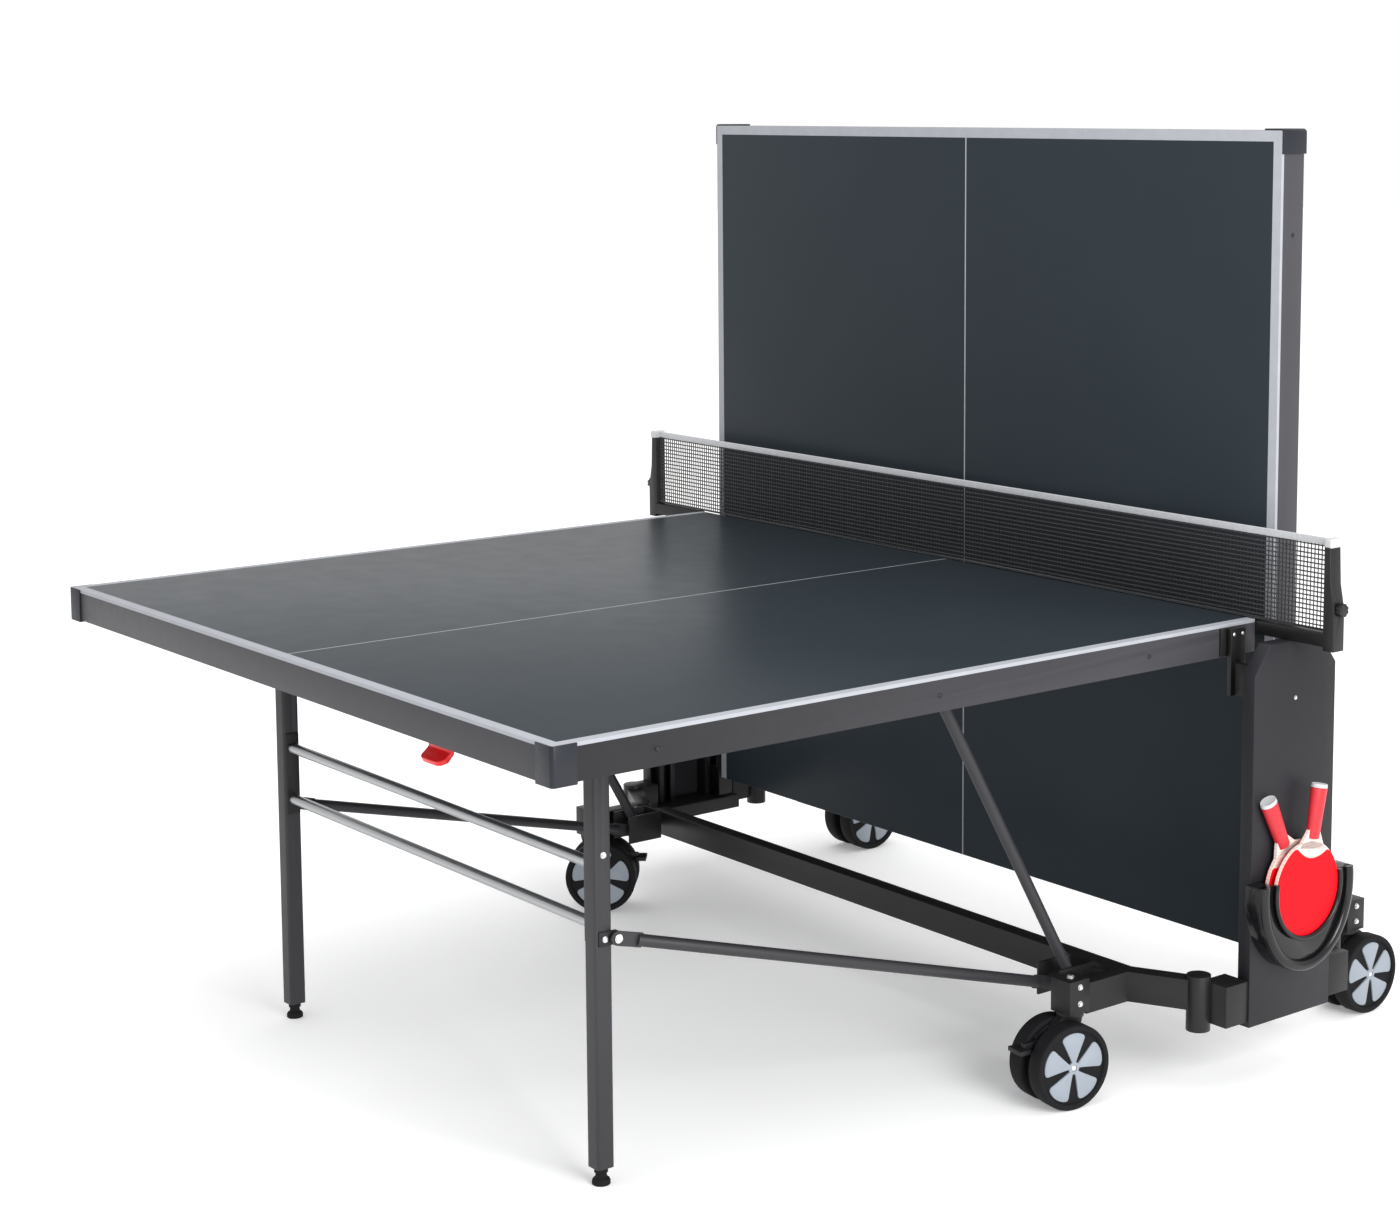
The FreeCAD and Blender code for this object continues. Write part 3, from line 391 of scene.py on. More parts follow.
def finished(piece_name, bm, material, body, nodes=()):
    """Turn a bmesh into a piece that rides on a body and stands for some packed nodes."""
    mesh = bpy.data.meshes.new(piece_name)
    bm.to_mesh(mesh)
    bm.free()
    for polygon in mesh.polygons:
        polygon.use_smooth = True
    mesh.set_sharp_from_angle(angle=SHARP)
    mesh.materials.append(material)
    piece = bpy.data.objects.new(piece_name, mesh)
    bpy.context.scene.collection.objects.link(piece)
    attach(piece, body)
    if nodes:
        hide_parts(*nodes)
    return piece


def merged(node):
    """A node's mesh as whole flat faces."""
    bm = bmesh.new()
    bm.from_mesh(frame["nodes"][node].data)
    bmesh.ops.remove_doubles(bm, verts=bm.verts, dist=0.005 * MM)
    bmesh.ops.dissolve_limit(bm, angle_limit=math.radians(0.5), verts=bm.verts, edges=bm.edges)
    return bm


def round_edges(bm, edges, width, segments, clamp=False):
    bmesh.ops.bevel(bm, geom=edges, offset=width, offset_type="OFFSET", affect="EDGES",
                    segments=segments, profile=0.5, material=-1, clamp_overlap=clamp)


def rounded(node, width, material, segments=2, shaped=None):
    """A copy of a node, or of a shape made from it, with its sharp edges rounded."""
    bm = shaped or merged(node)
    sharp = [e for e in bm.edges if e.is_manifold and e.calc_face_angle() > SHARP]
    round_edges(bm, sharp, width, segments, clamp=True)
    body = frame["nodes"][node]["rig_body"]
    return finished(node + "_piece", bm, material, body, [node])


for end in ("front", "rear"):
    rounded(end + "_apron", 0.5 * MM, apron_coat)
    rounded(end + "_corner_guards", 0.7 * MM, guard_plastic)
    rounded(end + "_underframe", 0.6 * MM, chassis_coat)
    rounded(end + "_leg_brackets", 0.5 * MM, chassis_coat)
    rounded(end + "_carriages", 1.0 * MM, carriage_plastic)
    rounded(end + "_leg_struts", 0.4 * MM, leg_coat)
    rounded(end + "_swing_arms", 0.6 * MM, leg_coat)
    rounded(end + "_beam", 0.7 * MM, chassis_coat)
    for side in ("left", "right"):
        rounded("%s_leg_%s" % (end, side), 0.5 * MM, leg_coat)
for side in ("left", "right"):
    rounded("side_plate_" + side, 0.8 * MM, plate_coat)
    rounded("side_frame_" + side, 0.6 * MM, chassis_coat)
    rounded("net_post_" + side, 1.0 * MM, net_plastic)
    rounded("net_knob_" + side, 0.6 * MM, net_plastic)
rounded("slide_rails", 0.8 * MM, chassis_coat)
for corner in ("front_left", "front_right", "rear_left", "rear_right"):
    rounded("caster_housing_" + corner, 1.0 * MM, caster_plastic)
for corner in ("front_left", "front_right"):
    rounded("caster_brake_" + corner, 1.2 * MM, caster_plastic)

# %% [markdown]
# ## Release levers
#
# The pull that frees a half is a curved red plastic paddle. Its packed shape is a curved plate cut
# off square, so the copy has the two corners of its foot rounded widely before its edges are.

# %% Release levers
PADDLE_ROUND = 15 * MM


def paddle(end):
    """The pull, the two corners of its foot rounded."""
    bm = merged(end + "_release_lever")
    pivot = middle_of(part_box(end + "_release_shaft"))
    feet = []
    for outer in (min, max):
        x = outer(v.co.x for v in bm.verts)
        rim = [e for e in bm.edges if all(abs(v.co.x - x) < 0.1 * MM for v in e.verts)]
        feet.append(max(rim, key=lambda e: min((v.co - pivot).yz.length for v in e.verts)))
    round_edges(bm, feet, PADDLE_ROUND, 8)
    return bm


for end in ("front", "rear"):
    lever = rounded(end + "_release_lever", 1.6 * MM, lever_plastic, 3, paddle(end))
    print(lever.name, "faces:", len(lever.data.polygons))

# %% [markdown]
# ## Nodes kept as they are
#
# The cross tubes and the release shafts are plain round bar, whose packed shape is right. They
# only take the brushed finish.

# %% Bare metal tubes and shafts
def dress(node, material):
    mesh = frame["nodes"][node].data
    mesh.materials.clear()
    mesh.materials.append(material)


for end in ("front", "rear"):
    dress(end + "_leg_crossbars", zinc)
    dress(end + "_release_shaft", bolt_zinc)
print("kept as packed:", "leg crossbars and release shafts")

# %% [markdown]
# ## The boards
#
# Each half is a thin weatherproof board with a matt blue-grey coat. The lines are printed: a broad
# one along the sides and the end, and a 3 mm line down the middle for doubles. They could be thin
# strips of mesh, but ink has no thickness. The board unwraps flat in metres, across and from the
# net, so one finish draws the same lines on both halves.

# %% Boards with printed lines
EDGE_LINE = 18 * MM
CENTRE_LINE = 3 * MM
PLAIN_PATCH = (0.3, 0.5)      # a place of the court with no line, for the underside


def board_coat(half_width, length):
    finish = Finish("board_coat", {"IOR": 1.45, "Specular IOR Level": 0.08})
    flat = finish.node("ShaderNodeUVMap", {"uv_map": "court"}, {}, 0)
    across = abs(finish.node("ShaderNodeSeparateXYZ", {}, {"Vector": flat}, "X"))
    along = finish.node("ShaderNodeSeparateXYZ", {}, {"Vector": flat}, "Y")
    side_line = across > half_width - EDGE_LINE
    end_line = along > length - EDGE_LINE
    centre_line = across < CENTRE_LINE / 2
    line = finish.joined_mask(side_line, end_line, centre_line)
    paint = finish.colours(finish.noise(0.2, 3.0), (0.021, 0.028, 0.035, 1), (0.026, 0.034, 0.041, 1))
    white = finish.colours(finish.noise(30 * MM), (0.31, 0.32, 0.35, 1), (0.37, 0.38, 0.41, 1))
    finish.shade("Base Color", finish.colours(line, paint, white))
    finish.shade("Roughness", 0.34 + 0.15 * line + 0.08 * (finish.noise(50 * MM, 3.0) - 0.5))
    finish.bump(finish.noise(0.9 * MM, 1.0) + 0.6 * line, 0.04 * MM)
    return finish.material


def board(end, material):
    """The board of one half, unwrapped in metres across and away from the net."""
    node = end + "_top"
    low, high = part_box(node)
    bm = bmesh.new()
    bmesh.ops.create_cube(bm, size=1)
    bmesh.ops.scale(bm, vec=high - low, verts=bm.verts)
    bmesh.ops.translate(bm, vec=(low + high) / 2, verts=bm.verts)
    round_edges(bm, bm.edges[:], 0.7 * MM, 3)
    bm.normal_update()
    underside = Vector((0, 0, -1)) if end == "front" else Vector((0, 1, 0))
    court = bm.loops.layers.uv.new("court")
    for face in bm.faces:
        below = face.normal.dot(underside) > 0.5
        for loop in face.loops:
            point = loop.vert.co
            from_net = high.y - point.y if end == "front" else point.z - low.z
            loop[court].uv = PLAIN_PATCH if below else (point.x, from_net)
    body = frame["nodes"][node]["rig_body"]
    return finished(end + "_board", bm, material, body, [node])


front_low, front_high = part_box("front_top")
coat = board_coat(front_high.x, front_high.y - front_low.y)
for end in ("front", "rear"):
    board(end, coat)
print("board length", round(front_high.y - front_low.y, 4))

# %% [markdown]
# ## The net
#
# The net is knotted black cord on a 7.5 mm square, with a white tape folded over its top and a
# cord along its foot. A sheet with a pattern of holes would look flat from close by, so the mesh
# is real: a grid of that pitch, turned into a frame of cords. It hangs a millimetre or two slack
# between the posts, as cord does.

# %% Net, tape and foot cord
NET_PITCH = 7.5 * MM
CORD = 2.4 * MM
TAPE_HEIGHT = 12 * MM
net_low, net_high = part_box("net")


def thread(name, colour, pitch):
    """Twisted thread or woven tape, with a fine diagonal twist."""
    finish = Finish(name, {"Specular IOR Level": 0.2, "Sheen Weight": 0.3})
    twist = (finish.axis("X") + finish.axis("Z")) % pitch
    finish.shade("Base Color", finish.colours(finish.noise(4 * MM), shade_of(colour, 0.8),
                                              shade_of(colour, 1.15)))
    finish.shade("Roughness", 0.8 + 0.1 * (finish.noise(3 * MM) - 0.5))
    finish.bump(twist * (1 / pitch), 0.15 * MM)
    return finish.material


cord_black = thread("black_cord", (0.010, 0.010, 0.011), 1.2 * MM)
tape_white = thread("white_tape", (0.50, 0.51, 0.53), 1.0 * MM)


def slack(x, z):
    """How far the net stands off its straight plane: nothing at the top, a little at the foot."""
    depth = (net_high.z - z) / (net_high.z - net_low.z)
    return 1.6 * MM * depth * math.sin(x * 9.0) * math.cos(x * 3.1)


middle_y = (net_low.y + net_high.y) / 2
width = net_high.x - net_low.x
mesh_height = net_high.z - net_low.z - TAPE_HEIGHT * 0.5
bm = bmesh.new()
bmesh.ops.create_grid(bm, x_segments=round(width / NET_PITCH), y_segments=round(mesh_height / NET_PITCH),
                      size=0.5)
bmesh.ops.scale(bm, vec=(width, mesh_height, 1), verts=bm.verts)
bmesh.ops.rotate(bm, matrix=Matrix.Rotation(math.radians(90), 3, "X"), verts=bm.verts)
bmesh.ops.translate(bm, vec=(0, middle_y, net_low.z + mesh_height / 2), verts=bm.verts)
for vert in bm.verts:
    vert.co.y += slack(vert.co.x, vert.co.z)
bmesh.ops.wireframe(bm, faces=bm.faces[:], thickness=CORD, offset=0, use_replace=True,
                    use_boundary=True, use_even_offset=True, use_relative_offset=False)
net = finished("net_mesh", bm, cord_black, "chassis", ["net"])

bm = bmesh.new()
bmesh.ops.create_cube(bm, size=1)
bmesh.ops.scale(bm, vec=(width, 3.2 * MM, TAPE_HEIGHT), verts=bm.verts)
bmesh.ops.translate(bm, vec=(0, middle_y, net_high.z - TAPE_HEIGHT / 2), verts=bm.verts)
long_edges = [e for e in bm.edges if abs((e.verts[0].co - e.verts[1].co).x) > width / 2]
round_edges(bm, long_edges, 1.3 * MM, 4)
tape = finished("net_tape", bm, tape_white, "chassis")

bm = bmesh.new()
bmesh.ops.create_cone(bm, cap_ends=True, segments=10, radius1=1.5 * MM, radius2=1.5 * MM, depth=width,
                      matrix=Matrix.Translation((0, middle_y, net_low.z + 1.5 * MM))
                      @ Matrix.Rotation(math.radians(90), 4, "Y"))
foot_cord = finished("net_foot_cord", bm, cord_black, "chassis")
print("net faces", len(net.data.polygons))

# %% [markdown]
# ## Casters
#
# Each caster has two rubber tyres on one axle. A tyre is a profile spun about the axle: crowned
# tread, rounded shoulders and a sunk face. On that face sits a pale hub of five petals, drawn as
# one petal and turned five times, with a bright cap over the axle's end.

# %% Tyres, hubs and caps
WHEEL_RADIUS = 70 * MM
HALF_TYRE = 16 * MM
PETALS = 5
HUB_SUNK = 5 * MM             # from the tyre's face in to the back of the hub
spins = {joint["child"]: joint for joint in frame["joints"] if joint["name"].startswith("wheel_spin")}
left_low, left_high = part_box("caster_wheels_rear_left")
tyre_offset = (left_high.x - left_low.x) / 2 - HALF_TYRE


def spun(bm, profile, steps=64):
    """Turn a closed profile of (x, radius) points about the X axis."""
    verts = [bm.verts.new((x, 0, r)) for x, r in profile]
    edges = [bm.edges.new((a, b)) for a, b in zip(verts, verts[1:] + verts[:1])]
    bmesh.ops.spin(bm, geom=verts + edges, cent=(0, 0, 0), axis=(1, 0, 0), angle=2 * math.pi, steps=steps,
                   use_merge=True)
    bmesh.ops.remove_doubles(bm, verts=bm.verts, dist=0.001 * MM)
    bmesh.ops.recalc_face_normals(bm, faces=bm.faces)


def tyre(bm):
    """Crowned tyre with its web, its outer face towards +X."""
    shoulder = 4.5 * MM
    rim = 60 * MM
    sunk = 4.5 * MM
    bore = 6 * MM
    crown = [(HALF_TYRE - shoulder * (1 - math.sin(t)), WHEEL_RADIUS - shoulder * (1 - math.cos(t)))
             for t in (math.radians(a) for a in (0, 30, 60, 90))]
    outer = crown + [(HALF_TYRE, rim + 2 * MM), (HALF_TYRE - 1.5 * MM, rim), (HALF_TYRE - sunk, rim - 1 * MM),
                     (HALF_TYRE - sunk, bore)]
    inner = [(-x, r) for x, r in crown] + [(-HALF_TYRE, rim), (-HALF_TYRE + sunk, rim - 3 * MM),
                                           (-HALF_TYRE + sunk, 22 * MM), (-HALF_TYRE, 19 * MM),
                                           (-HALF_TYRE, bore)]
    spun(bm, outer + inner[::-1])


print("tyre half width and radius:", HALF_TYRE, WHEEL_RADIUS)

# %% [markdown]
# ## Hubs and their caps
#
# The hub is five flat petals that rise out of the tyre's sunk face. One petal's outline is given
# in radius and angle, extruded, sloped towards the rim and turned five times, and a spun collar
# and a small domed cap finish the middle. Cutting the gaps out of a disc would give the same look
# with far more faces.

# %% Hub petals and caps
def petal(bm, turn):
    """One wedge of the hub, narrow at the axle and rounded at the rim."""
    places = [(9, 21), (22, 23), (40, 24.5), (50, 25), (53, 24), (55, 21.5), (56.3, 16), (57, 8), (57.2, 0)]
    outline = places + [(r, -a) for r, a in places[-2::-1]]
    verts = []
    for radius, angle in outline:
        way = math.radians(angle + turn)
        verts.append(bm.verts.new((HALF_TYRE - HUB_SUNK, radius * MM * math.sin(way),
                                   radius * MM * math.cos(way))))
    face = bm.faces.new(verts)
    raised = bmesh.ops.extrude_face_region(bm, geom=[face])["geom"]
    top = [v for v in raised if isinstance(v, bmesh.types.BMVert)]
    bmesh.ops.translate(bm, vec=(4.2 * MM, 0, 0), verts=top)
    for vert in top:
        vert.co.x -= 0.03 * math.hypot(vert.co.y, vert.co.z)
    rim_edges = [e for e in bm.edges if all(v in top for v in e.verts)]
    round_edges(bm, rim_edges, 1.0 * MM, 2)


def hub(bm):
    for k in range(PETALS):
        petal(bm, 360 / PETALS * k)
    spun(bm, [(HALF_TYRE - HUB_SUNK, 5 * MM), (HALF_TYRE - 0.5 * MM, 5 * MM),
              (HALF_TYRE - 0.5 * MM, 8 * MM), (HALF_TYRE - 1.5 * MM, 10 * MM),
              (HALF_TYRE - HUB_SUNK, 10 * MM)], 40)


def cap(bm):
    spun(bm, [(HALF_TYRE - 3 * MM, 0.2 * MM), (HALF_TYRE - 0.2 * MM, 0.2 * MM),
              (HALF_TYRE - 0.4 * MM, 2.6 * MM), (HALF_TYRE - 1.2 * MM, 4.4 * MM),
              (HALF_TYRE - 3 * MM, 4.9 * MM)], 32)


print("petals per hub:", PETALS)

# %% [markdown]
# ## Wheels on their axles
#
# Every caster carries the same pair of wheels, turned with its swivel. The shape is made once for
# each end of the axle, the second as a mirror image, and carried to the axle's own place.

# %% Wheels in place
def take_in(bm, part):
    """Copy a part into a larger shape and free it."""
    scratch = bpy.data.meshes.new("scratch")
    part.to_mesh(scratch)
    part.free()
    bm.from_mesh(scratch)
    bpy.data.meshes.remove(scratch)


def on_axle(shape, joint):
    """A wheel's shape at both ends of an axle, outer faces outwards."""
    bm = bmesh.new()
    for side in (-1, 1):
        one = bmesh.new()
        shape(one)
        bmesh.ops.translate(one, vec=(tyre_offset, 0, 0), verts=one.verts)
        bmesh.ops.scale(one, vec=(side, 1, 1), verts=one.verts)
        take_in(bm, one)
    bmesh.ops.recalc_face_normals(bm, faces=bm.faces)
    turn = math.atan2(joint["axis"][1], joint["axis"][0])
    bmesh.ops.transform(bm, matrix=Matrix.Translation(joint["pos_m"]) @ Matrix.Rotation(turn, 4, "Z"),
                        verts=bm.verts)
    return bm


for body, joint in spins.items():
    corner = body.replace("wheels_", "")
    finished("tyres_" + corner, on_axle(tyre, joint), tyre_rubber, body,
             ["caster_wheels_" + corner])
    finished("hubs_" + corner, on_axle(hub, joint), hub_plastic, body)
    finished("hub_caps_" + corner, on_axle(cap, joint), bolt_zinc, body)
print("casters:", len(spins))

# %% [markdown]
# ## Rackets
#
# Two rackets lean in the holder on the right. Each has a thin plywood blade, a red rubber sheet on
# both faces that stops short of the handle in a shallow curve, and a red grip with a pale end cap.
# Each is modelled upright in the middle, then leaned and carried to its place.

# %% Rackets
LEAN = {"rear_racket": 26.0, "front_racket": -10.0}
BLADE_WIDTH = 75 * MM
BLADE_HEIGHT = 78 * MM
PLY = 6 * MM
RUBBER = 2 * MM
holder_low, holder_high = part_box("racket_holder_right")
HOLDER_TOP = 20 * MM          # above the blades' middle
racket_middle_z = holder_high.z - HOLDER_TOP
racket_middle_y = (holder_low.y + holder_high.y) / 2

rubber_red = moulded("red_rubber", (0.80, 0.004, 0.010), 0.5, 0.03 * MM, 1.2 * MM, 0.1)
grip_red = moulded("red_grip", (0.50, 0.020, 0.030), 0.4)


def ply_wood():
    """Pale birch ply, its layers showing as stripes round the edge."""
    finish = Finish("birch_ply", {"Specular IOR Level": 0.3})
    grain = finish.node("ShaderNodeTexWave", {"bands_direction": "Z"},
                        {"Vector": finish.place(), "Scale": 60.0, "Distortion": 3.0, "Detail": 2.0}, "Fac")
    finish.shade("Base Color", finish.colours(grain, (0.74, 0.56, 0.50, 1), (0.82, 0.68, 0.62, 1)))
    finish.shade("Roughness", 0.5 + 0.1 * grain)
    return finish.material


birch = ply_wood()
print("racket finishes:", [made.name for made in (rubber_red, grip_red, birch)])

# %% [markdown]
# ## Blade, rubbers and grip
#
# The blade is an oval disc of ply whose shoulders narrow into the grip. A rubber is a thinner disc
# on each face, cut back near the grip, and the grip is a flared tube pressed to an oval. Discs and
# a block are enough, because all of a racket's curves lie in one plane.

# %% Shapes of a racket

def disc(bm, thickness, shrink=0.0):
    """Elliptical plate across X."""
    made = bmesh.ops.create_cone(bm, cap_ends=True, segments=72, radius1=1, radius2=1, depth=thickness,
                                 matrix=Matrix.Rotation(math.radians(90), 4, "Y"))
    bmesh.ops.scale(bm, vec=(1, BLADE_WIDTH - shrink, BLADE_HEIGHT - shrink), verts=made["verts"])
    return made["verts"]


def rubber_edge(y):
    """Height at which the rubber ends, curving up away from the handle."""
    return 50 * MM + 12 * MM * (abs(y) / (34 * MM)) ** 2


NECK_WIDTH = 62 * MM
NECK_END = 22 * MM            # width where the neck enters the grip
NECK_LENGTH = 34 * MM
NECK_MIDDLE = 82 * MM         # above the blade's middle, as the next two
GRIP_MIDDLE = 124 * MM
END_CAP_MIDDLE = 169 * MM
FLATTENED = 0.80              # thickness of the grip against its width


def blade(bm):
    """The ply disc with the shoulders that narrow into the handle."""
    disc(bm, PLY)
    neck = bmesh.ops.create_cube(bm, size=1.0)["verts"]
    bmesh.ops.scale(bm, vec=(PLY, NECK_WIDTH, NECK_LENGTH), verts=neck)
    bmesh.ops.scale(bm, vec=(1, NECK_END / NECK_WIDTH, 1), verts=[v for v in neck if v.co.z > 0])
    bmesh.ops.translate(bm, vec=(0, 0, NECK_MIDDLE), verts=neck)


def rubbers(bm):
    for side in (-1, 1):
        verts = disc(bm, RUBBER, 1.0 * MM)
        for vert in verts:
            if vert.co.z > rubber_edge(vert.co.y):
                vert.co.z = rubber_edge(vert.co.y)
        bmesh.ops.translate(bm, vec=(side * (PLY + RUBBER) / 2, 0, 0), verts=verts)


def grip(bm):
    """Flared oval handle."""
    verts = bmesh.ops.create_cone(bm, cap_ends=True, segments=40, radius1=12.5 * MM, radius2=15.5 * MM,
                                  depth=84 * MM, matrix=Matrix.Translation((0, 0, GRIP_MIDDLE)))["verts"]
    bmesh.ops.scale(bm, vec=(FLATTENED, 1.0, 1.0), verts=verts)
    round_edges(bm, [e for e in bm.edges if e.calc_face_angle() > SHARP], 1.5 * MM, 3)


def end_cap(bm):
    verts = bmesh.ops.create_cone(bm, cap_ends=True, segments=40, radius1=15.6 * MM, radius2=14.6 * MM,
                                  depth=6 * MM, matrix=Matrix.Translation((0, 0, END_CAP_MIDDLE)))["verts"]
    bmesh.ops.scale(bm, vec=(FLATTENED, 1.0, 1.0), verts=verts)
    top = max(bm.faces, key=lambda f: f.calc_center_median().z)
    bmesh.ops.inset_region(bm, faces=[top], thickness=4 * MM, depth=-1.2 * MM)


print("blade, mm:", round(2 * BLADE_WIDTH / MM), "by", round(2 * BLADE_HEIGHT / MM))

# %% [markdown]
# ## Rackets in the holder
#
# Both rackets stand blade down, one leaning each way. Each shape is turned about the blade's
# middle, so the blade stays over the pocket whatever the lean.

# %% Rackets in place
def leaned(shape, racket):
    """One of a racket's shapes, leaned and set in the holder."""
    low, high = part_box(racket)
    bm = bmesh.new()
    shape(bm)
    bmesh.ops.recalc_face_normals(bm, faces=bm.faces)
    place = Matrix.Translation(((low.x + high.x) / 2, racket_middle_y, racket_middle_z))
    bmesh.ops.transform(bm, matrix=place @ Matrix.Rotation(math.radians(LEAN[racket]), 4, "X"),
                        verts=bm.verts)
    return bm


for racket in LEAN:
    finished(racket + "_blade", leaned(blade, racket), birch, racket, [racket])
    finished(racket + "_rubbers", leaned(rubbers, racket), rubber_red, racket)
    finished(racket + "_grip", leaned(grip, racket), grip_red, racket)
    finished(racket + "_end_cap", leaned(end_cap, racket), cap_plastic, racket)
print("racket pieces:", len(LEAN) * 4)

# %% [markdown]
# ## Trim of the racket holders
#
# A holder is a polished cradle. A rounded rim hugs the front racket's lower half, and a broad
# rolled band runs round the outside, with a groove between the two. Each is a round section swept
# along an ellipse, so both are spun as rings, stretched to the ellipse and cut off level with the
# top of the cradle.

# %% Holder rims and bands
RIM = 4.2 * MM
BAND = 9.0 * MM
SET_BACK = 0.78
RIM_HALF_WIDTH = 78 * MM
RIM_DROP = 80.5 * MM


def cradle(name):
    """The cradle's cup, its face set back so that the rim and the band stand out."""
    node = "racket_holder_" + name
    low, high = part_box(node)
    wall = high.x if name == "left" else low.x
    bm = merged(node)
    for vert in bm.verts:
        vert.co.x = wall + (vert.co.x - wall) * SET_BACK
    return rounded(node, 0.5 * MM, holder_plastic, 2, bm)


def swept_ring(bm, half_width, drop, radius_x, radius_z, face_x):
    """An oval section carried round an ellipse and kept below the cradle's top."""
    section = [(face_x - radius_x + radius_x * math.cos(a), 1 + 0.01 * math.sin(a))
               for a in (2 * math.pi * k / 14 for k in range(14))]
    spun(bm, section, 96)
    for vert in bm.verts:
        far = math.hypot(vert.co.y, vert.co.z)
        way = Vector((0, vert.co.y / far, vert.co.z / far))
        reach = (far - 1) * 100 * radius_z
        vert.co.y = way.y * (half_width + reach)
        vert.co.z = way.z * (drop + reach)
    bmesh.ops.bisect_plane(bm, geom=bm.verts[:] + bm.edges[:] + bm.faces[:], dist=0.001 * MM,
                           plane_co=(0, 0, HOLDER_TOP), plane_no=(0, 0, 1), clear_outer=True)
    bmesh.ops.edgeloop_fill(bm, edges=[e for e in bm.edges if e.is_boundary])
    bmesh.ops.recalc_face_normals(bm, faces=bm.faces)


def holder_trim(name, side, inner):
    """The inner rim or the outer band of one holder."""
    low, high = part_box("racket_holder_" + name)
    face_x = max(abs(low.x), abs(high.x))
    half_width = (high.y - low.y) / 2
    drop = high.z - HOLDER_TOP - low.z
    bm = bmesh.new()
    if inner:
        swept_ring(bm, RIM_HALF_WIDTH, RIM_DROP, RIM, RIM, face_x)
    else:
        swept_ring(bm, half_width - BAND, drop - BAND, 0.8 * BAND, BAND, face_x)
    bmesh.ops.scale(bm, vec=(side, 1, 1), verts=bm.verts)
    bmesh.ops.recalc_face_normals(bm, faces=bm.faces)
    bmesh.ops.translate(bm, vec=(0, (low.y + high.y) / 2, high.z - HOLDER_TOP), verts=bm.verts)
    kind = "rim" if inner else "band"
    return finished("holder_%s_%s" % (kind, name), bm, holder_plastic, "chassis")


for name, side in (("left", -1), ("right", 1)):
    cradle(name)
    holder_trim(name, side, True)
    holder_trim(name, side, False)
print("holders trimmed: 2")

# %% [markdown]
# ## Bolts
#
# The packed bolts are plain discs, grouped in one node for each kind. Each disc is found as an
# island of its node's mesh, and a washer and a bevelled hexagon head are set in its place.

# %% Bolt heads
def islands(node):
    """Low and high corners of each separate solid of a node."""
    bm = merged(node)
    left = set(bm.verts)
    boxes = []
    while left:
        stack = [left.pop()]
        found = []
        while stack:
            vert = stack.pop()
            found.append(vert.co.copy())
            for edge in vert.link_edges:
                other = edge.other_vert(vert)
                if other in left:
                    left.remove(other)
                    stack.append(other)
        boxes.append((Vector(map(min, zip(*found))), Vector(map(max, zip(*found)))))
    bm.free()
    return boxes


def bolt_head(bm, low, high):
    """Washer and hexagon head that fill a disc's box, facing away from the table's middle."""
    size = high - low
    axis = min(range(3), key=lambda k: size[k])
    radius = max(size) / 2
    height = size[axis]
    way = Vector((0, 0, 0))
    way[axis] = 1.0 if axis == 2 or (low + high)[axis] > 0 else -1.0
    turn = way.to_track_quat("Z", "Y").to_matrix().to_4x4()
    seat = Matrix.Translation((low + high) / 2) @ turn @ Matrix.Translation((0, 0, -height / 2))
    washer = 0.3 * height
    bmesh.ops.create_cone(bm, cap_ends=True, segments=28, radius1=radius, radius2=radius * 0.97,
                          depth=washer, matrix=seat @ Matrix.Translation((0, 0, washer / 2)))
    head = bmesh.ops.create_cone(bm, cap_ends=True, segments=6, radius1=radius * 0.82, radius2=radius * 0.82,
                                 depth=height - washer,
                                 matrix=seat @ Matrix.Translation((0, 0, (height + washer) / 2)))["verts"]
    round_edges(bm, [e for e in bm.edges if all(v in head for v in e.verts)], 0.35 * MM, 2)


for node in ("chassis_bolts", "front_leg_bolts", "rear_leg_bolts"):
    boxes = islands(node)
    bm = bmesh.new()
    for low, high in boxes:
        bolt_head(bm, low, high)
    finished(node + "_heads", bm, bolt_zinc, frame["nodes"][node]["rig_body"], [node])
    print(node, len(boxes))

# %% [markdown]
# ## Small fixings
#
# Black domed rivets show on the aprons where each cross rail is fastened, and two bright screws
# hold the plate of each carriage. The rails are solids of the underframe, so their places come
# from its islands.

# %% Rivets and carriage screws
RIVET = 4.0 * MM
RIVET_RISE = 1.2 * MM
PLATE_SCREW = 3.2 * MM
PLATE_SCREW_RISE = 1.8 * MM
PLATE_SCREW_SPREAD = 10 * MM  # from the middle of the carriage's plate
PLATE_SCREW_DROP = 9 * MM     # below its top


def dome(bm, place, way, radius, height):
    """A low domed head that stands on a face, spun about the way it faces."""
    steps = [math.radians(a) for a in (0, 25, 50, 75)]
    profile = [(0, radius)] + [(height * math.sin(t) + 0.1 * MM, radius * math.cos(t)) for t in steps]
    made = bmesh.new()
    spun(made, [(0, 0.05 * MM)] + profile + [(height, 0.05 * MM)], 24)
    turn = Vector(way).to_track_quat("X", "Z").to_matrix().to_4x4()
    bmesh.ops.transform(made, matrix=Matrix.Translation(place) @ turn, verts=made.verts)
    take_in(bm, made)


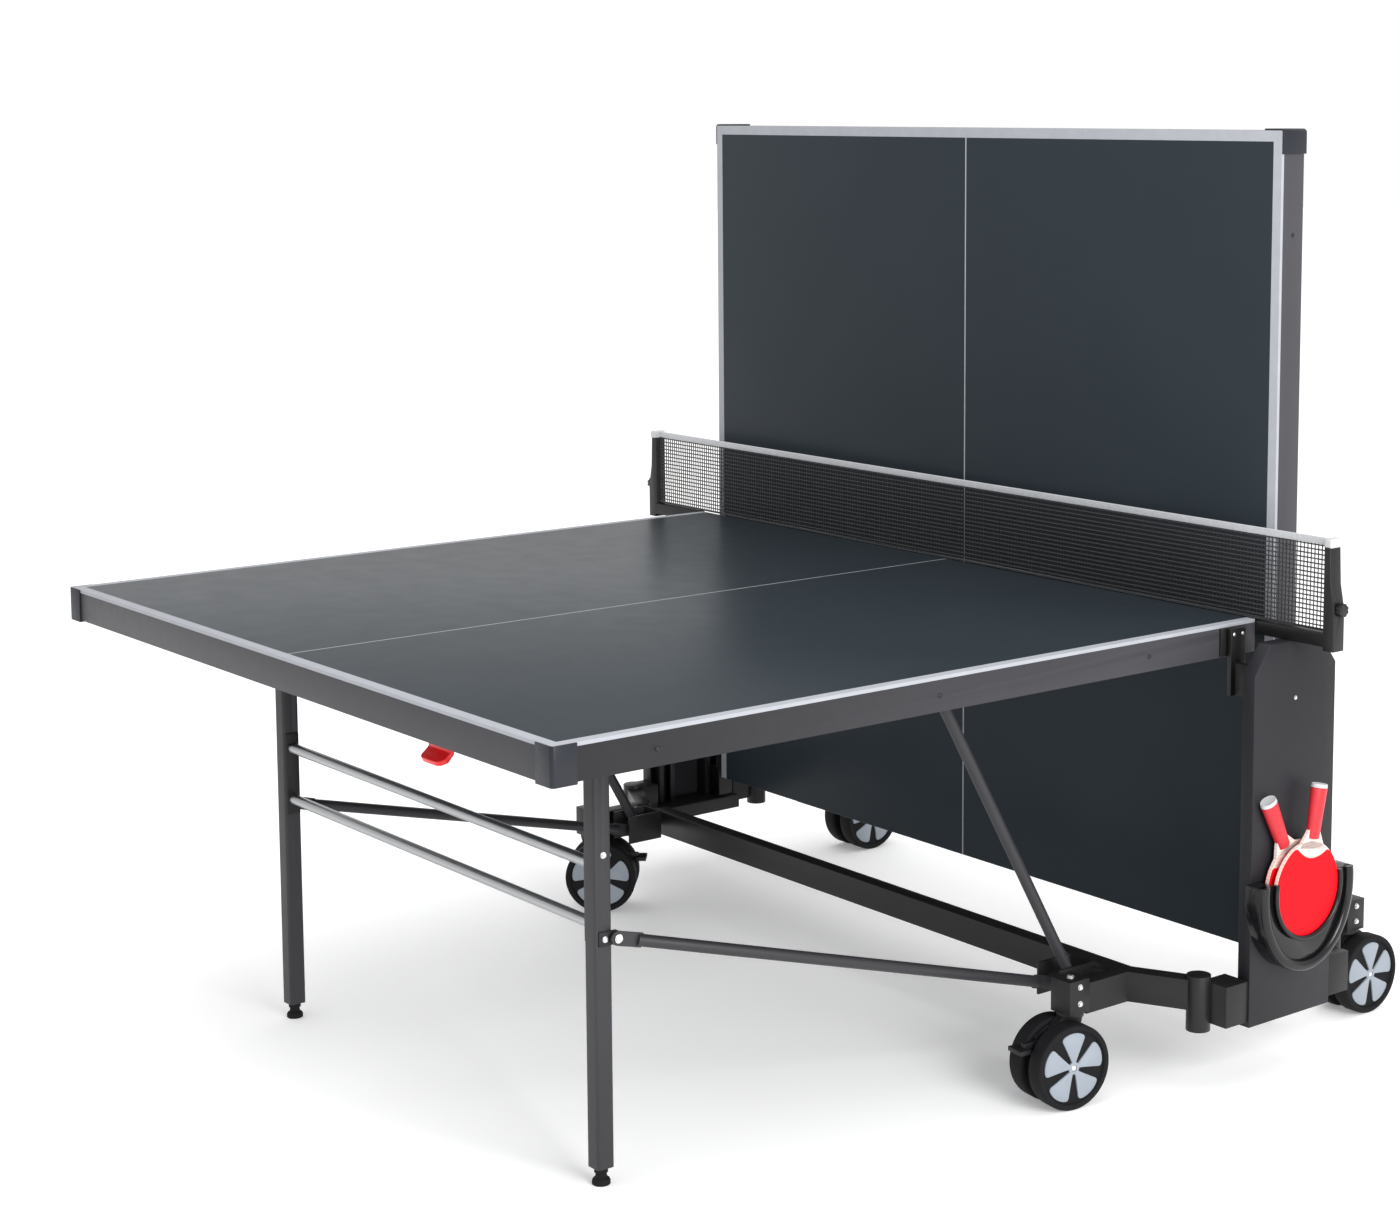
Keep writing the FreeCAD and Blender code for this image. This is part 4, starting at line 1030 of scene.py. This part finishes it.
for end in ("front", "rear"):
    low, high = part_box(end + "_apron")
    rails = [box for box in islands(end + "_underframe") if (box[1] - box[0]).x > 1.0]
    bm = bmesh.new()
    for rail in rails:
        for side in (-1, 1):
            place = middle_of(rail)
            height = 2 if end == "front" else 1
            place[height] = (low[height] + high[height]) / 2
            place.x = side * high.x
            dome(bm, place, (side, 0, 0), RIVET, RIVET_RISE)
    finished(end + "_rivets", bm, guard_plastic, end + "_half")
    low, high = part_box(end + "_carriages")
    plate = merged(end + "_carriages")
    face = max(v.co.x for v in plate.verts if v.co.z > high.z - 30 * MM)
    plate.free()
    bm = bmesh.new()
    for side in (-1, 1):
        for way in (-1, 1):
            place = Vector((side * face, (low.y + high.y) / 2 + way * PLATE_SCREW_SPREAD,
                            high.z - PLATE_SCREW_DROP))
            dome(bm, place, (side, 0, 0), PLATE_SCREW, PLATE_SCREW_RISE)
    finished(end + "_carriage_screws", bm, bolt_zinc, end + "_carriage")
    print(end, "rails", len(rails), "carriage face", round(face, 4))

# %% [markdown]
# ## Net post caps
#
# A pale moulded cap closes the top of each net post, where the net's tape ends. It is a block with
# well rounded edges, a little larger than the post that it covers.

# %% Post caps
POST_CAP_LIP = 1.6 * MM       # how much wider than the post
POST_CAP_HEIGHT = 15 * MM
POST_CAP_ROUND = 3 * MM
for name, side in (("left", -1), ("right", 1)):
    low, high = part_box("net_post_" + name)
    outer = side * (max(abs(low.x), abs(high.x)) - 8 * MM)
    inner = side * net_high.x
    bm = bmesh.new()
    bmesh.ops.create_cube(bm, size=1)
    bmesh.ops.scale(bm, vec=(abs(outer - inner) + POST_CAP_LIP, high.y - low.y + POST_CAP_LIP,
                             POST_CAP_HEIGHT), verts=bm.verts)
    bmesh.ops.translate(bm, vec=((outer + inner) / 2, (low.y + high.y) / 2, high.z - 6.5 * MM),
                        verts=bm.verts)
    round_edges(bm, bm.edges[:], POST_CAP_ROUND, 4)
    finished("net_post_cap_" + name, bm, cap_plastic, "chassis")
    print("cap", name, "from", round(inner, 3), "to", round(outer, 3))

# %% [markdown]
# ## Levelling feet
#
# A leg ends in a black rubber pad on a threaded stud. The pad is a spun profile with a soft heel,
# and the neck above it carries the lock nut that holds the height.

# %% Feet
for end in ("front", "rear"):
    for side in ("left", "right"):
        node = "%s_foot_%s" % (end, side)
        low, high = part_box(node)
        middle_x = (low.x + high.x) / 2
        middle_of_leg = (low.y + high.y) / 2
        radius = (high.x - low.x) / 2
        bm = bmesh.new()
        spun(bm, [(0, 0.3 * MM), (0, radius - 1 * MM), (1 * MM, radius), (6 * MM, radius),
                  (9 * MM, radius - 1.5 * MM), (11 * MM, radius - 5 * MM), (13 * MM, 9 * MM),
                  (19 * MM, 8 * MM), (19 * MM, 10.5 * MM), (26.5 * MM, 10.5 * MM),
                  (26.5 * MM, 5 * MM), (high.z - low.z, 5 * MM), (high.z - low.z, 0.3 * MM)], 40)
        bmesh.ops.rotate(bm, matrix=Matrix.Rotation(math.radians(-90), 3, "Y"), verts=bm.verts)
        bmesh.ops.translate(bm, vec=(middle_x, middle_of_leg, low.z), verts=bm.verts)
        bmesh.ops.recalc_face_normals(bm, faces=bm.faces)
        finished(node + "_piece", bm, foot_rubber, frame["nodes"][node]["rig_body"], [node])
        print(node, "pad radius, mm:", round(radius / MM, 1))

# %% [markdown]
